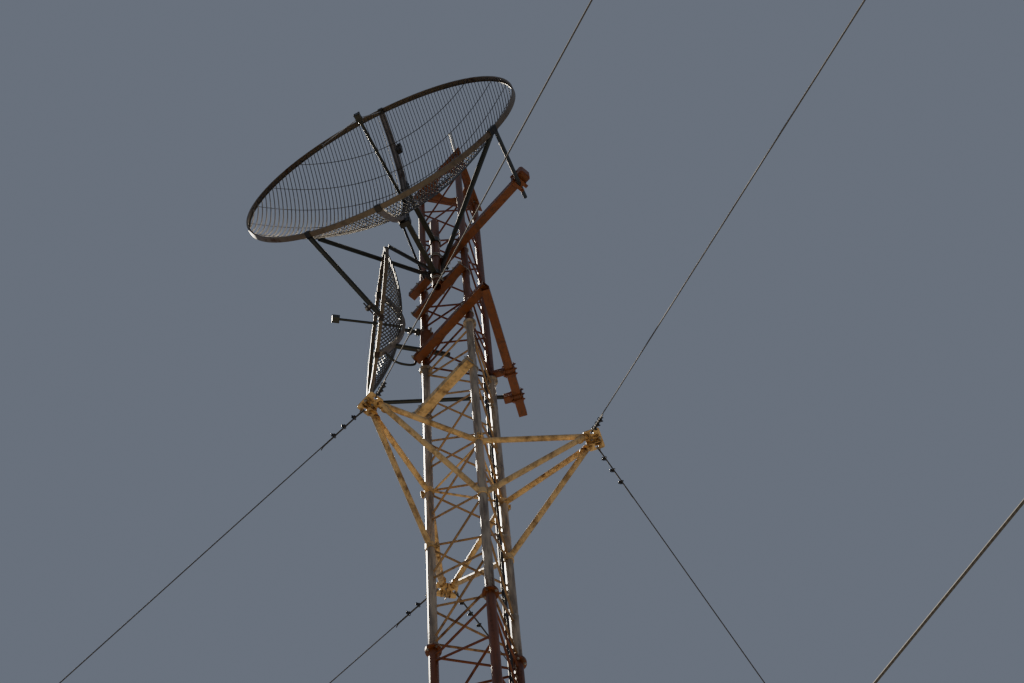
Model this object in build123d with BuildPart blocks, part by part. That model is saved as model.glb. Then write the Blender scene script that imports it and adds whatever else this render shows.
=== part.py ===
from build123d import *
from math import cos, radians, sin, sqrt
import os

os.makedirs("parts", exist_ok=True)

# Guyed radio mast in millimetres, +Z up, origin on the underside of the base plate.
# The near leg stands toward -Y, the right leg toward +X +Y and the left leg toward -X +Y.
section_height = 6000
section_count = 5
leg_circle_radius = 450
leg_diameter = 88.9
leg_wall = 5.5
flange_diameter = 152
flange_thickness = 16
flange_bolt_circle = 122
flange_bolt_hole = 14
flange_bolts = 4
flange_bolt_turn = 45

bracing_bars = 10
bracing_bar = 24
bracing_margin = 206
bracing_joint_gap = 115
bracing_end_bar = 110
bracing_bite = 6

base_plate_radius = 640
base_plate_thickness = 30
base_bolt_circle = 1100
base_bolt_hole = 27
base_bolts = 6
base_centre_hole = 300
top_plate_thickness = 12
top_plate_margin = 150
top_plate_hole = 380
lightning_rod_diameter = 38
lightning_rod_length = 830
lightning_rod_lean = 7
lightning_rod_azimuth = -149

arm_upper_height = 2997
arm_lower_height = 1856
arm_reach = 1340
arm_diameter = 60.3
arm_tie_size = 18
arm_tie_offset = 21.5
arm_clamp_height = 88
arm_clamp_thickness = 10
tip_plate_length = 236
tip_plate_width = 170
tip_plate_thickness = 12
tip_plate_corner = 22
tip_tube_bite = 8
tip_tube_inset = 22

guy_diameter = 11
loop_wire = 10
guy_hole = 34
guy_hole_inset = 34
thimble_radius = 24
lug_reach = 96
lug_height = 120
lug_drop = 120
lug_corner = 14
lug_bite = 8
lower_guy_joint = 2

anchor_distance = 19190
anchor_height = 420
anchor_rod_diameter = 32
anchor_block_size = 700
anchor_block_height = 180
anchor_rod_embedment = 120
fan_plate_length = 110
fan_plate_thickness = 16
fan_spacing = 90
fan_pin = 19
fan_hole = 25
fan_hole_offset = 25
fan_plate_margin = 45
fan_plate_corner = 24
fan_rod_bite = 15
block_corner = 30
fork_length = 84
fork_width = 46
fork_gap = 23
turnbuckle_length = 320
turnbuckle_width = 52
turnbuckle_thickness = 22
turnbuckle_screw = 18
turnbuckle_rim = 30
screw_inside = 70
screw_fork_gap = 100
screw_far_gap = 60
fork_height = 38
fork_slot_length = 120
fork_slot_centre = -14
fork_nose = 22
pin_head = 8

side_tube_size = 100
side_tube_wall = 6
upper_tube_height = 2325
middle_tube_height = 1573
lower_tube_height = 270
spare_tube_height = -1252
tube_overhang = 60
upper_tube_left = 128
outrigger_length = 1212
lower_tube_right = 410
right_tube_azimuth = 63.3
right_tube_length = 1690
right_tube_lead = 12
right_tube_inset = 18
link_size = 70
link_wall = 5

mount_pipe_diameter = 114.3
mount_pipe_wall = 6
mount_pipe_offset = 81
mount_pipe_bottom = 1380
mount_pipe_top = 3585

dish_diameter = 3690
dish_depth = 692
dish_azimuth = -127.5
dish_height = 2294
dish_standoff = 856
dish_rib_pitch = 48
dish_rib_width = 6
dish_rib_depth = 16
dish_wire = 6
dish_rim_width = 66
dish_rim_thickness = 22
dish_rim_lip = 10
dish_facets = 12
rib_end_gap = 20
wire_bite = 3
dish_wire_levels = (-1450, -850, -250, 250, 850, 1450)
dish_spine_width = 80
dish_spine_depth = 50
dish_boom = 38
dish_feed_box = 88
dish_feed_reach = 30
dish_arm_size = 60
dish_arm_spacing = 1120
dish_arm_wall = 5
ring_height = 120
ring_thickness = 13
spine_end_gap = 24
boom_tail = 30
feed_width_share = 0.85

small_dish_diameter = 1830
small_dish_depth = 290
small_dish_azimuth = 177
small_dish_height = 933
small_dish_gap = 320
small_dish_side = 105
small_rib_pitch = 38
small_rib_width = 5
small_rib_depth = 12
small_wire = 5
small_rim_width = 45
small_rim_thickness = 16
small_wire_levels = (-620, -210, 210, 620)
small_spine_width = 60
small_spine_depth = 40
small_boom = 30
small_spine_gap = 18
small_boom_inset = 4
small_feed_box = 90
small_feed_reach = 85
small_pipe = 60.3
small_boom_pipe = 42.4
small_pipe_height = 395
small_pipe_short = 340
small_pipe_long = 600

strut_diameter = 48.3
long_strut_diameter = 60.3
back_strut_diameter = 54
back_strut_along = -105
back_strut_side = -922
back_strut_drop = -1144
pad_size = 140
pad_thickness = 8
rim_strut_along = 68
rim_strut_angle = -36.4
small_strut_along = -38
small_strut_radius = 940
small_strut_angle = 22
tie_start_angle = -120
tie_end_angle = -62
side_strut_angle = -34.2
side_strut_gap = 92
side_strut_tail = 360
side_strut_inset = 60
rim_strut_outside = 6
rim_strut_inside = 30
strut_overrun = 50
low_strut_angle = -155
low_strut_drop = 45
low_plate_length = 110
low_plate_width = 70
low_plate_thickness = 8
low_plate_radius = 12
low_plate_drop = 12
low_strut_landing = 1430
clamp_plate_centre = -40
clamp_plate_length = 300
clamp_plate_width = 100
clamp_plate_thickness = 10
outrigger_block = 96
cable_diameter = 28
dish_cable_side = -34
dish_cable_drop = -650
dish_cable_along = -250
cable_bottom = 400
cable_top = 170

# Clearance between pieces that only rest on each other
seat = 0.3

leg_azimuths = {"near": -90, "right": 30, "left": 150}
face_azimuths = {("near", "right"): -30, ("right", "left"): 90, ("left", "near"): -150}
up = Vector(0, 0, 1)


def direction(azimuth):
    return Vector(cos(radians(azimuth)), sin(radians(azimuth)), 0)


def leg_centre(leg, z=0.0):
    return direction(leg_azimuths[leg]) * leg_circle_radius + up * z


def joint_level(joint):
    return base_plate_thickness + joint * section_height


def across(start, end, size_dir=None):
    run = (end - start).normalized()
    if size_dir is None:
        return Plane(origin=start, z_dir=run)
    return Plane(origin=start, x_dir=size_dir - run * size_dir.dot(run), z_dir=run)


def rod(start, end, diameter):
    with BuildPart() as made:
        with BuildSketch(across(start, end)):
            Circle(diameter / 2)
        extrude(amount=(end - start).length)
    return made.part


def tube(start, end, diameter, wall):
    with BuildPart() as made:
        with BuildSketch(across(start, end)):
            Circle(diameter / 2)
            Circle(diameter / 2 - wall, mode=Mode.SUBTRACT)
        extrude(amount=(end - start).length)
    return made.part


def square_bar(start, end, size):
    with BuildPart() as made:
        with BuildSketch(across(start, end, up)):
            Rectangle(size, size)
        extrude(amount=(end - start).length)
    return made.part


def square_tube(start, end, size, wall):
    with BuildPart() as made:
        with BuildSketch(across(start, end, up)):
            Rectangle(size, size)
            Rectangle(size - 2 * wall, size - 2 * wall, mode=Mode.SUBTRACT)
        extrude(amount=(end - start).length)
    return made.part


def joined(pieces, cut_by=()):
    with BuildPart() as made:
        add(pieces)
        if cut_by:
            add(list(cut_by), mode=Mode.SUBTRACT)
    return made.part


def save(part, name):
    part.label = name
    export_step(part, f"parts/{name}.step")


def save_group(pieces, name):
    group = Compound(children=list(pieces))
    save(group, name)


# Base plate with foundation bolt holes
with BuildPart() as base_plate:
    with BuildSketch():
        RegularPolygon(base_plate_radius, 6)
        Circle(base_centre_hole / 2, mode=Mode.SUBTRACT)
        with PolarLocations(base_bolt_circle / 2, base_bolts):
            Circle(base_bolt_hole / 2, mode=Mode.SUBTRACT)
    extrude(amount=base_plate_thickness)
save(base_plate.part, "base_plate")

# One leg pipe with its two bolted flanges, repeated three times in each section
with BuildPart() as one_leg:
    with BuildSketch():
        Circle(leg_diameter / 2)
        Circle(leg_diameter / 2 - leg_wall, mode=Mode.SUBTRACT)
    extrude(amount=section_height)
    for level in (0, section_height - flange_thickness):
        with BuildSketch(Plane.XY.offset(level)):
            Circle(flange_diameter / 2)
            Circle(leg_diameter / 2, mode=Mode.SUBTRACT)
            with PolarLocations(flange_bolt_circle / 2, flange_bolts, flange_bolt_turn):
                Circle(flange_bolt_hole / 2, mode=Mode.SUBTRACT)
        extrude(amount=flange_thickness)

# One side of the welded zigzag bracing, repeated on the three sides
start_leg = leg_centre("left")
end_leg = leg_centre("near")
side_run = (end_leg - start_leg).normalized()
start_leg = start_leg + side_run * (leg_diameter / 2 - bracing_bite)
end_leg = end_leg - side_run * (leg_diameter / 2 - bracing_bite)
bar_pitch = (section_height - 2 * bracing_margin + bracing_joint_gap) / bracing_bars
bar_drop = bar_pitch - bracing_joint_gap
with BuildPart() as one_side:
    bars = []
    for step in range(bracing_bars):
        top = up * (section_height - bracing_margin - step * bar_pitch)
        high, low = (start_leg, end_leg) if step % 2 == 0 else (end_leg, start_leg)
        bars.append(square_bar(high + top, low + top - up * bar_drop, bracing_bar))
    for level in (bracing_end_bar, section_height - bracing_end_bar):
        bars.append(square_bar(start_leg + up * level, end_leg + up * level, bracing_bar))
    add(bars)
    for leg in ("left", "near"):
        add(rod(leg_centre(leg), leg_centre(leg, section_height), leg_diameter), mode=Mode.SUBTRACT)

for section in range(section_count):
    bottom = up * joint_level(section)
    legs = []
    for leg, azimuth in leg_azimuths.items():
        legs.append(one_leg.part.moved(Location(leg_centre(leg) + bottom, azimuth)))
    save_group(legs, f"legs_{section + 1}")
    bars = []
    for turn in (0, 120, 240):
        for bar in one_side.part.solids():
            bars.append(bar.moved(Location(bottom, turn)))
    save_group(bars, f"bracing_{section + 1}")

# Guy arms on the fourth section: four tubes from two legs to a horizontal tip plate
arm_base = joint_level(3)
upper_level = arm_base + arm_upper_height
lower_level = arm_base + arm_lower_height
clamp_radius = leg_diameter / 2 + arm_clamp_thickness
below_arms = lower_level - section_height / 10
above_arms = upper_level + section_height / 10
clamp_columns = []
for leg in leg_azimuths:
    clamp_columns.append(rod(leg_centre(leg, below_arms), leg_centre(leg, above_arms), 2 * (clamp_radius + seat)))
guy_eyes = {}
arms = []
hole_along = tip_plate_length / 2 - guy_hole_inset
for (first, second), azimuth in face_azimuths.items():
    outward = direction(azimuth)
    sideways = Vector(-outward.Y, outward.X, 0)
    centre = outward * arm_reach + up * upper_level
    with BuildPart() as tip_plate:
        with BuildSketch(Plane(origin=centre - up * tip_plate_thickness / 2, x_dir=sideways, z_dir=up)):
            RectangleRounded(tip_plate_length, tip_plate_width, tip_plate_corner)
            with Locations((-hole_along, 0), (hole_along, 0)):
                Circle(guy_hole / 2, mode=Mode.SUBTRACT)
        extrude(amount=tip_plate_thickness)
    tubes = []
    for leg in (first, second):
        hand = 1 if leg_centre(leg).dot(sideways) > 0 else -1
        end = centre - outward * (tip_plate_width / 2 - tip_tube_bite)
        end = end + sideways * hand * (hole_along - tip_tube_inset)
        for level in (upper_level, lower_level):
            tubes.append(rod(leg_centre(leg, level), end, arm_diameter))
        guy_eyes[leg, azimuth] = centre + sideways * hand * hole_along
    eyes = [centre + sideways * hand * hole_along for hand in (-1, 1)]
    holes = [rod(eye - up * arm_diameter, eye + up * arm_diameter, guy_hole) for eye in eyes]
    arms.append(joined([tip_plate.part] + tubes, clamp_columns + holes))
save_group(arms, "guy_arms")

# Clamp rings on the legs, tied together by bars at the upper level
rings = []
for leg in leg_azimuths:
    for level in (upper_level, lower_level):
        half = arm_clamp_height / 2
        rings.append(tube(leg_centre(leg, level - half), leg_centre(leg, level + half), 2 * clamp_radius,
                          arm_clamp_thickness - seat))
leg_names = list(leg_azimuths)
ties = []
for index, leg in enumerate(leg_names):
    other = leg_names[(index + 1) % 3]
    inward = direction(leg_azimuths[leg_names[(index + 2) % 3]]) * arm_tie_offset
    ties.append(square_bar(leg_centre(leg, upper_level) + inward, leg_centre(other, upper_level) + inward,
                           arm_tie_size))
cores = [rod(leg_centre(leg, below_arms), leg_centre(leg, above_arms), leg_diameter + 2 * seat)
         for leg in leg_azimuths]
save(joined(rings + ties, cores), "guy_arm_clamps")

# Plate on top of the mast and the leaning lightning rod
mast_top = up * joint_level(section_count)
with BuildPart() as top_plate:
    with BuildSketch(Plane(origin=mast_top)):
        RegularPolygon(leg_circle_radius + top_plate_margin, 3, rotation=-90)
        Circle(top_plate_hole / 2, mode=Mode.SUBTRACT)
        for leg, azimuth in leg_azimuths.items():
            with Locations(Location(leg_centre(leg), azimuth)):
                with PolarLocations(flange_bolt_circle / 2, flange_bolts, flange_bolt_turn):
                    Circle(flange_bolt_hole / 2, mode=Mode.SUBTRACT)
    extrude(amount=top_plate_thickness)
save(top_plate.part, "top_plate")

rod_foot = leg_centre("near") + mast_top + up * top_plate_thickness
rod_lean = direction(lightning_rod_azimuth) * sin(radians(lightning_rod_lean))
rod_lean = rod_lean + up * cos(radians(lightning_rod_lean))
with BuildPart() as lightning_rod:
    add(rod(rod_foot - rod_lean * 20, rod_foot + rod_lean * lightning_rod_length, lightning_rod_diameter))
    split(bisect_by=Plane(origin=rod_foot + up * seat), keep=Keep.TOP)
save(lightning_rod.part, "lightning_rod")

# Lugs on the legs for the lower guys
lug_level = joint_level(lower_guy_joint) - lug_drop
lug_eye = leg_diameter / 2 + lug_reach - guy_hole_inset
lugs = []
for leg, azimuth in leg_azimuths.items():
    outward = direction(azimuth)
    sideways = Vector(-outward.Y, outward.X, 0)
    foot = leg_centre(leg, lug_level) - sideways * tip_plate_thickness / 2
    with BuildPart() as lug:
        with BuildSketch(Plane(origin=foot, x_dir=outward, z_dir=sideways)):
            with Locations((leg_diameter / 2 + (lug_reach - lug_bite) / 2, 0)):
                RectangleRounded(lug_reach + lug_bite, lug_height, lug_corner)
            with Locations((lug_eye, 0)):
                Circle(guy_hole / 2, mode=Mode.SUBTRACT)
        extrude(amount=tip_plate_thickness)
    column = rod(leg_centre(leg, lug_level - lug_height), leg_centre(leg, lug_level + lug_height),
                 leg_diameter + 2 * seat)
    lugs.append(joined([lug.part], [column]))
save_group(lugs, "lower_guy_lugs")

# Turnbuckle along +X, with its fork pin at the origin
body_start = fork_length + screw_fork_gap
body_end = body_start + turnbuckle_length
screw_end = body_end + screw_far_gap
with BuildPart() as turnbuckle:
    with BuildSketch(Plane.XY.offset(-fork_width / 2)):
        with Locations((fork_length / 2 - fork_nose, 0)):
            SlotOverall(fork_length, fork_height)
    extrude(amount=fork_width)
    with BuildSketch(Plane.XY.offset(-fork_gap / 2)):
        with Locations((fork_slot_centre, 0)):
            Rectangle(fork_slot_length, 2 * fork_height)
    extrude(amount=fork_gap, mode=Mode.SUBTRACT)
    with BuildSketch(Plane.XY.offset(-turnbuckle_thickness / 2)):
        with Locations(((body_start + body_end) / 2, 0)):
            SlotOverall(turnbuckle_length, turnbuckle_width)
            SlotOverall(turnbuckle_length - 2 * turnbuckle_rim, turnbuckle_width / 2, mode=Mode.SUBTRACT)
    extrude(amount=turnbuckle_thickness)
    near_screw = (fork_length - turnbuckle_rim, body_start + screw_inside)
    far_screw = (body_end - screw_inside, screw_end)
    for start, end in (near_screw, far_screw):
        with BuildSketch(Plane.YZ.offset(start)):
            Circle(turnbuckle_screw / 2)
        extrude(amount=end - start)
    with BuildSketch(Plane.XY.offset(-fork_width / 2 - pin_head)):
        Circle(fan_pin / 2)
    extrude(amount=fork_width + 2 * pin_head)

# Guys from a closed loop at the mast down to a turnbuckle, a fan plate and an anchor at the ground
inner_loop = thimble_radius - loop_wire / 2


def guy_rope(low_end, loop_centre, loop_axis):
    pull = (low_end - loop_centre).normalized()
    far_side = loop_centre - pull * thimble_radius
    near_side = loop_centre + pull * (thimble_radius - loop_wire / 3)
    with BuildPart() as rope:
        with BuildSketch(Plane(origin=far_side, x_dir=pull, z_dir=pull.cross(loop_axis))):
            Circle(loop_wire / 2)
        revolve(axis=Axis(tuple(loop_centre), tuple(loop_axis)))
        add(rod(low_end, near_side, guy_diameter))
    return rope.part


blocks, rods, buckles, lower_guys, upper_guys = [], [], [], [], []
for leg, azimuth in leg_azimuths.items():
    outward = direction(azimuth)
    sideways = Vector(-outward.Y, outward.X, 0)
    anchor = outward * anchor_distance + up * anchor_height
    lower_eye = leg_centre(leg, lug_level) + outward * lug_eye
    upper_eyes = [eye for (near_leg, face), eye in guy_eyes.items() if near_leg == leg]
    mean = lower_eye * (1 / 3) + upper_eyes[0] * (1 / 3) + upper_eyes[1] * (1 / 3) - anchor
    pull = (mean - sideways * mean.dot(sideways)).normalized()
    fan_plane = Plane(origin=anchor - sideways * fan_plate_thickness / 2, x_dir=pull, z_dir=sideways)
    fan_up = fan_plane.y_dir * (1 if fan_plane.y_dir.Z > 0 else -1)
    with BuildPart() as fan:
        with BuildSketch(fan_plane):
            RectangleRounded(fan_plate_length, 2 * (fan_spacing + fan_plate_margin), fan_plate_corner)
            with Locations(*[(fan_hole_offset, step * fan_spacing) for step in (-1, 0, 1)]):
                Circle(fan_hole / 2, mode=Mode.SUBTRACT)
        extrude(amount=fan_plate_thickness)
    rod_top = anchor - pull * (fan_plate_length / 2 - fan_rod_bite)
    rod_low = rod_top - pull * ((rod_top.Z - anchor_block_height + anchor_rod_embedment) / pull.Z)
    rods.append(joined([fan.part, rod(rod_low, rod_top, anchor_rod_diameter)]))
    block_centre = rod_low - up * rod_low.Z
    with BuildPart() as block:
        with BuildSketch(Plane(origin=block_centre, x_dir=outward, z_dir=up)):
            RectangleRounded(anchor_block_size, anchor_block_size, block_corner)
        extrude(amount=anchor_block_height)
    socket = rod(rod_low - pull * seat, rod_top, anchor_rod_diameter + 2 * seat)
    blocks.append(joined([block.part], [socket]))
    for step, eye in ((-1, lower_eye), (0, upper_eyes[0]), (1, upper_eyes[1])):
        hole = anchor + pull * fan_hole_offset + fan_up * step * fan_spacing
        line = (eye - hole).normalized()
        pin = hole + line * ((fan_hole - fan_pin) / 2 - 3 * seat)
        buckle_place = Plane(origin=pin, x_dir=line, z_dir=sideways - line * sideways.dot(line))
        buckles.append(turnbuckle.part.moved(Location(buckle_place)))
        low_end = pin + line * (screw_end + seat)
        if step == -1:
            bearing = sqrt((inner_loop - seat) ** 2 - (tip_plate_thickness / 2) ** 2)
            loop = eye - line * (guy_hole / 2 + bearing)
            lower_guys.append(guy_rope(low_end, loop, line.cross(sideways).normalized()))
        else:
            level_pull = Vector(-line.X, -line.Y, 0).normalized()
            corner = eye + level_pull * guy_hole / 2 + up * tip_plate_thickness / 2
            loop = corner - line * (inner_loop - seat)
            upper_guys.append(guy_rope(low_end, loop, line.cross(up).normalized()))
save_group(blocks, "anchor_blocks")
save_group(rods, "anchor_rods")
save_group(buckles, "turnbuckles")
save_group(lower_guys, "lower_guys")
save_group(upper_guys, "upper_guys")

# Square tubes along the side between the left and the near leg
side_out = direction(-150)
side_along = direction(-60)
half_side = leg_circle_radius * sqrt(3) / 2
side_distance = leg_circle_radius / 2 + leg_diameter / 2 + side_tube_size / 2 + seat
upper_joint = joint_level(4)


def on_side(along, height, distance=side_distance):
    return side_out * distance + side_along * along + up * (upper_joint + height)


side_tubes = {
    "upper_side_tube": (upper_tube_height, upper_tube_left, outrigger_length),
    "middle_side_tube": (middle_tube_height, tube_overhang, tube_overhang),
    "lower_side_tube": (lower_tube_height, tube_overhang, lower_tube_right),
    "spare_side_tube": (spare_tube_height, tube_overhang, tube_overhang),
}
for name, (height, left, right) in side_tubes.items():
    start = on_side(-half_side - left, height)
    end = on_side(half_side + right, height)
    save(square_tube(start, end, side_tube_size, side_tube_wall), name)

# Square tube on the right side under the end of the lower side tube, with its link to the right leg
right_level = lower_tube_height - side_tube_size - seat
right_run = direction(right_tube_azimuth)
right_out = Vector(right_run.Y, -right_run.X, 0)
right_start = on_side(half_side + lower_tube_right - right_tube_inset, right_level)
right_start = right_start - right_run * right_tube_lead
right_end = right_start + right_run * right_tube_length
save(square_tube(right_start, right_end, side_tube_size, side_tube_wall), "right_side_tube")
right_leg = leg_centre("right", upper_joint + right_level)
link_span = (right_start - right_leg).dot(right_out) - side_tube_size / 2 - seat
link = square_tube(right_leg, right_leg + right_out * link_span, link_size, link_wall)
right_column = rod(right_leg - up * link_size, right_leg + up * link_size, leg_diameter + 2 * seat)
link_pieces = joined([link], [right_column]).solids()
save(link_pieces.sort_by(Axis(tuple(right_leg), tuple(right_out)))[-1], "right_tube_link")

# Vertical pipe in front of the upper and middle side tubes that carries the large dish
pipe_distance = side_distance + side_tube_size / 2 + mount_pipe_diameter / 2 + seat
pipe_bottom = on_side(mount_pipe_offset, mount_pipe_bottom, pipe_distance)
pipe_top = on_side(mount_pipe_offset, mount_pipe_top, pipe_distance)
save(tube(pipe_bottom, pipe_top, mount_pipe_diameter, mount_pipe_wall), "mount_pipe")


# Grid dishes, each built facing +X with its vertex at the origin
def curved_strip(half, near, back, thickness, focus, width, plane):
    levels = [half * (2 * step / dish_facets - 1) for step in range(dish_facets + 1)]
    front = [(near + level**2 / (4 * focus) - back, level) for level in levels]
    rear = [(x - thickness, level) for x, level in reversed(front)]
    with BuildPart() as strip:
        with BuildSketch(plane):
            with BuildLine():
                Polyline(*front, *rear, close=True)
            make_face()
        extrude(amount=width)
    return strip.part


def upright_strip(offset, half, back, thickness, width, focus):
    plane = Plane(origin=(0, offset + width / 2, 0), x_dir=(1, 0, 0), z_dir=(0, -1, 0))
    return curved_strip(half, offset**2 / (4 * focus), back, thickness, focus, width, plane)


def half_grid(radius, focus, pitch, rib_width, rib_depth, wire, wire_levels):
    strips = []
    for step in range(int((radius - rib_end_gap) / pitch + 0.5)):
        offset = (step + 0.5) * pitch
        half = sqrt(radius**2 - (offset + rib_width / 2) ** 2)
        strips.append(upright_strip(offset, half, 0, rib_depth, rib_width, focus))
    for level in wire_levels:
        reach = sqrt(radius**2 - (abs(level) + wire / 2) ** 2)
        spans = [reach * step / dish_facets for step in range(dish_facets + 1)]
        lift = level**2 / (4 * focus) - rib_depth + wire_bite
        front = [(lift + across**2 / (4 * focus), max(across, seat)) for across in spans]
        rear = [(x - wire, across) for x, across in reversed(front)]
        with BuildPart() as strip:
            with BuildSketch(Plane.XY.offset(level - wire / 2)):
                with BuildLine():
                    Polyline(*front, *rear, close=True)
                make_face()
            extrude(amount=wire)
        strips.append(strip.part)
    return joined(strips)


def rim_band(radius, depth, width, thickness):
    with BuildPart() as rim:
        with BuildSketch(Plane.YZ.offset(depth + dish_rim_lip - width)):
            Circle(radius)
            Circle(radius - thickness, mode=Mode.SUBTRACT)
        extrude(amount=width)
    return rim.part


def feed(reach, back, boom, box):
    with BuildPart() as made:
        with BuildSketch(Plane.YZ.offset(-back)):
            Circle(boom / 2)
        extrude(amount=back + reach)
        with Locations((reach, 0, 0)):
            Box(box, box * feed_width_share, box * feed_width_share)
    return made.part


big_radius = dish_diameter / 2 - dish_rim_thickness - seat
big_focus = big_radius**2 / (4 * dish_depth)
big_forward = direction(dish_azimuth)
pipe_axis = on_side(mount_pipe_offset, dish_height, pipe_distance)
big_place = Plane(origin=pipe_axis + big_forward * dish_standoff, x_dir=big_forward, z_dir=up)
grid = half_grid(big_radius, big_focus, dish_rib_pitch, dish_rib_width, dish_rib_depth, dish_wire,
                 dish_wire_levels)
save(grid.moved(Location(big_place)), "dish_grid_left")
save(mirror(grid, about=Plane.XZ).moved(Location(big_place)), "dish_grid_right")
rim = rim_band(dish_diameter / 2, dish_depth, dish_rim_width, dish_rim_thickness)
save(rim.moved(Location(big_place)), "dish_rim")
spine_back = dish_rib_depth + dish_wire + 2
spine_half = big_radius - spine_end_gap
spine = upright_strip(0, spine_half, spine_back, dish_spine_depth, dish_spine_width, big_focus)
boom_hole = rod(Vector(-300, 0, 0), Vector(300, 0, 0), dish_boom + 2 * seat)
save(joined([spine], [boom_hole]).moved(Location(big_place)), "dish_spine")
boom_back = spine_back + dish_spine_depth + boom_tail
big_feed = feed(big_focus + dish_feed_reach, boom_back, dish_boom, dish_feed_box)
save(big_feed.moved(Location(big_place)), "dish_feed")

small_radius = small_dish_diameter / 2 - small_rim_thickness - seat
small_focus = small_radius**2 / (4 * small_dish_depth)
small_forward = direction(small_dish_azimuth)
small_centre = leg_centre("left", upper_joint + small_dish_height)
small_centre = small_centre - Vector(small_dish_gap, small_dish_side, 0)
small_place = Plane(origin=small_centre, x_dir=small_forward, z_dir=up)
grid = half_grid(small_radius, small_focus, small_rib_pitch, small_rib_width, small_rib_depth, small_wire,
                 small_wire_levels)
halves = [half.moved(Location(small_place)) for half in (grid, mirror(grid, about=Plane.XZ))]
save_group(halves, "small_dish_grid")
rim = rim_band(small_dish_diameter / 2, small_dish_depth, small_rim_width, small_rim_thickness)
save(rim.moved(Location(small_place)), "small_dish_rim")
small_back = small_rib_depth + small_wire + 2
small_half = small_radius - small_spine_gap
spine = upright_strip(0, small_half, small_back, small_spine_depth, small_spine_width, small_focus)
boom_hole = rod(Vector(-300, 0, 0), Vector(300, 0, 0), small_boom + 2 * seat)
small_spine = joined([spine], [boom_hole]).moved(Location(small_place))
save(small_spine, "small_dish_spine")
boom_back = small_back + small_spine_depth - small_boom_inset
small_feed = feed(small_focus + small_feed_reach, boom_back, small_boom, small_feed_box)
save(small_feed.moved(Location(small_place)), "small_dish_feed")

# Arms from the spine of the large dish back to clamp rings on the mount pipe
pipe_keep_out = rod(pipe_bottom - up * 50, pipe_top + up * 50, mount_pipe_diameter + 2 * seat)
spine_keep_out = upright_strip(0, spine_half, spine_back - 200, dish_spine_depth + 200 + seat,
                               3 * dish_spine_width, big_focus).moved(Location(big_place))
arms = []
for side in (-1, 1):
    height = side * dish_arm_spacing / 2
    ring_centre = pipe_axis + up * height
    start = ring_centre + big_forward * (dish_standoff + height**2 / (4 * big_focus) - spine_back)
    ring = rod(ring_centre - up * ring_height / 2, ring_centre + up * ring_height / 2,
               mount_pipe_diameter + 2 * ring_thickness)
    arm = square_tube(start, ring_centre, dish_arm_size, dish_arm_wall)
    arms.append(joined([ring, arm], [pipe_keep_out, spine_keep_out]))
save_group(arms, "dish_arms")

# Struts of both dishes, cut off flat against the rims and under the side tubes
strut_level = upper_tube_height - side_tube_size / 2 - clamp_plate_thickness - 2 * seat


def in_front(place, distance):
    with BuildPart() as slab:
        with BuildSketch(Plane(origin=place.origin + place.x_dir * distance, z_dir=place.x_dir)):
            Rectangle(4200, 4200)
        extrude(amount=300)
    return slab.part


def under_side_tube(along, diameter):
    return on_side(along, strut_level - diameter / 2, side_distance)


above_plate = square_bar(on_side(-400, strut_level + 100), on_side(300, strut_level + 100), 200)
big_rim_back = in_front(big_place, dish_depth + dish_rim_lip - dish_rim_width - seat)
small_rim_back = in_front(small_place, small_dish_depth + dish_rim_lip - small_rim_width - seat)


def rim_point(place, radius, depth, angle):
    height = sin(radians(angle)) * radius
    return place.from_local_coords(Vector(depth, cos(radians(angle)) * radius, height))


def extended(start, end, extra):
    return end + (end - start).normalized() * extra


pad_y, pad_z = back_strut_side, back_strut_drop
pad_x = (pad_y**2 + pad_z**2) / (4 * big_focus) - dish_rib_depth
slope = Vector(1, -pad_y / (2 * big_focus), -pad_z / (2 * big_focus)).normalized()
pad_local = Vector(pad_x, pad_y, pad_z) - slope * (pad_thickness + dish_wire)
pad_centre = big_place.from_local_coords(pad_local)
pad_plane = Plane(origin=pad_centre, z_dir=big_place.from_local_coords(pad_local + slope) - pad_centre)
with BuildPart() as pad:
    with BuildSketch(pad_plane):
        Rectangle(pad_size, pad_size)
    extrude(amount=pad_thickness)
with BuildPart() as pad_front:
    with BuildSketch(pad_plane.offset(pad_thickness)):
        Rectangle(2 * pad_size, 2 * pad_size)
    extrude(amount=pad_size)
back_end = under_side_tube(back_strut_along, back_strut_diameter)
back_rod = rod(pad_plane.origin, extended(pad_plane.origin, back_end, strut_overrun), back_strut_diameter)
back_strut = joined([pad.part, back_rod], [above_plate, pad_front.part])
start_radius = dish_diameter / 2 + rim_strut_outside
start_depth = dish_depth - rim_strut_inside
rim_start = rim_point(big_place, start_radius, start_depth, rim_strut_angle)
rim_end = under_side_tube(rim_strut_along, long_strut_diameter)
rim_strut = joined([rod(rim_start, extended(rim_start, rim_end, strut_overrun), long_strut_diameter)],
                   [above_plate, big_rim_back])
small_start = rim_point(small_place, small_strut_radius, small_dish_depth - rim_strut_inside, small_strut_angle)
small_end = under_side_tube(small_strut_along, strut_diameter)
small_strut = joined([rod(small_start, extended(small_start, small_end, strut_overrun), strut_diameter)],
                     [above_plate, small_rim_back])
save_group([back_strut.solids()[0], rim_strut.solids()[0]], "dish_struts")

side_start = rim_point(big_place, start_radius, start_depth, side_strut_angle)
outrigger_along = half_side + outrigger_length - side_strut_inset
under_outrigger = upper_tube_height - side_tube_size / 2
crossing = on_side(outrigger_along, under_outrigger - side_strut_gap)
side_strut = joined([rod(side_start, extended(side_start, crossing, side_strut_tail), strut_diameter)],
                    [big_rim_back])
save(side_strut.solids()[0], "dish_side_strut")

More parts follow.
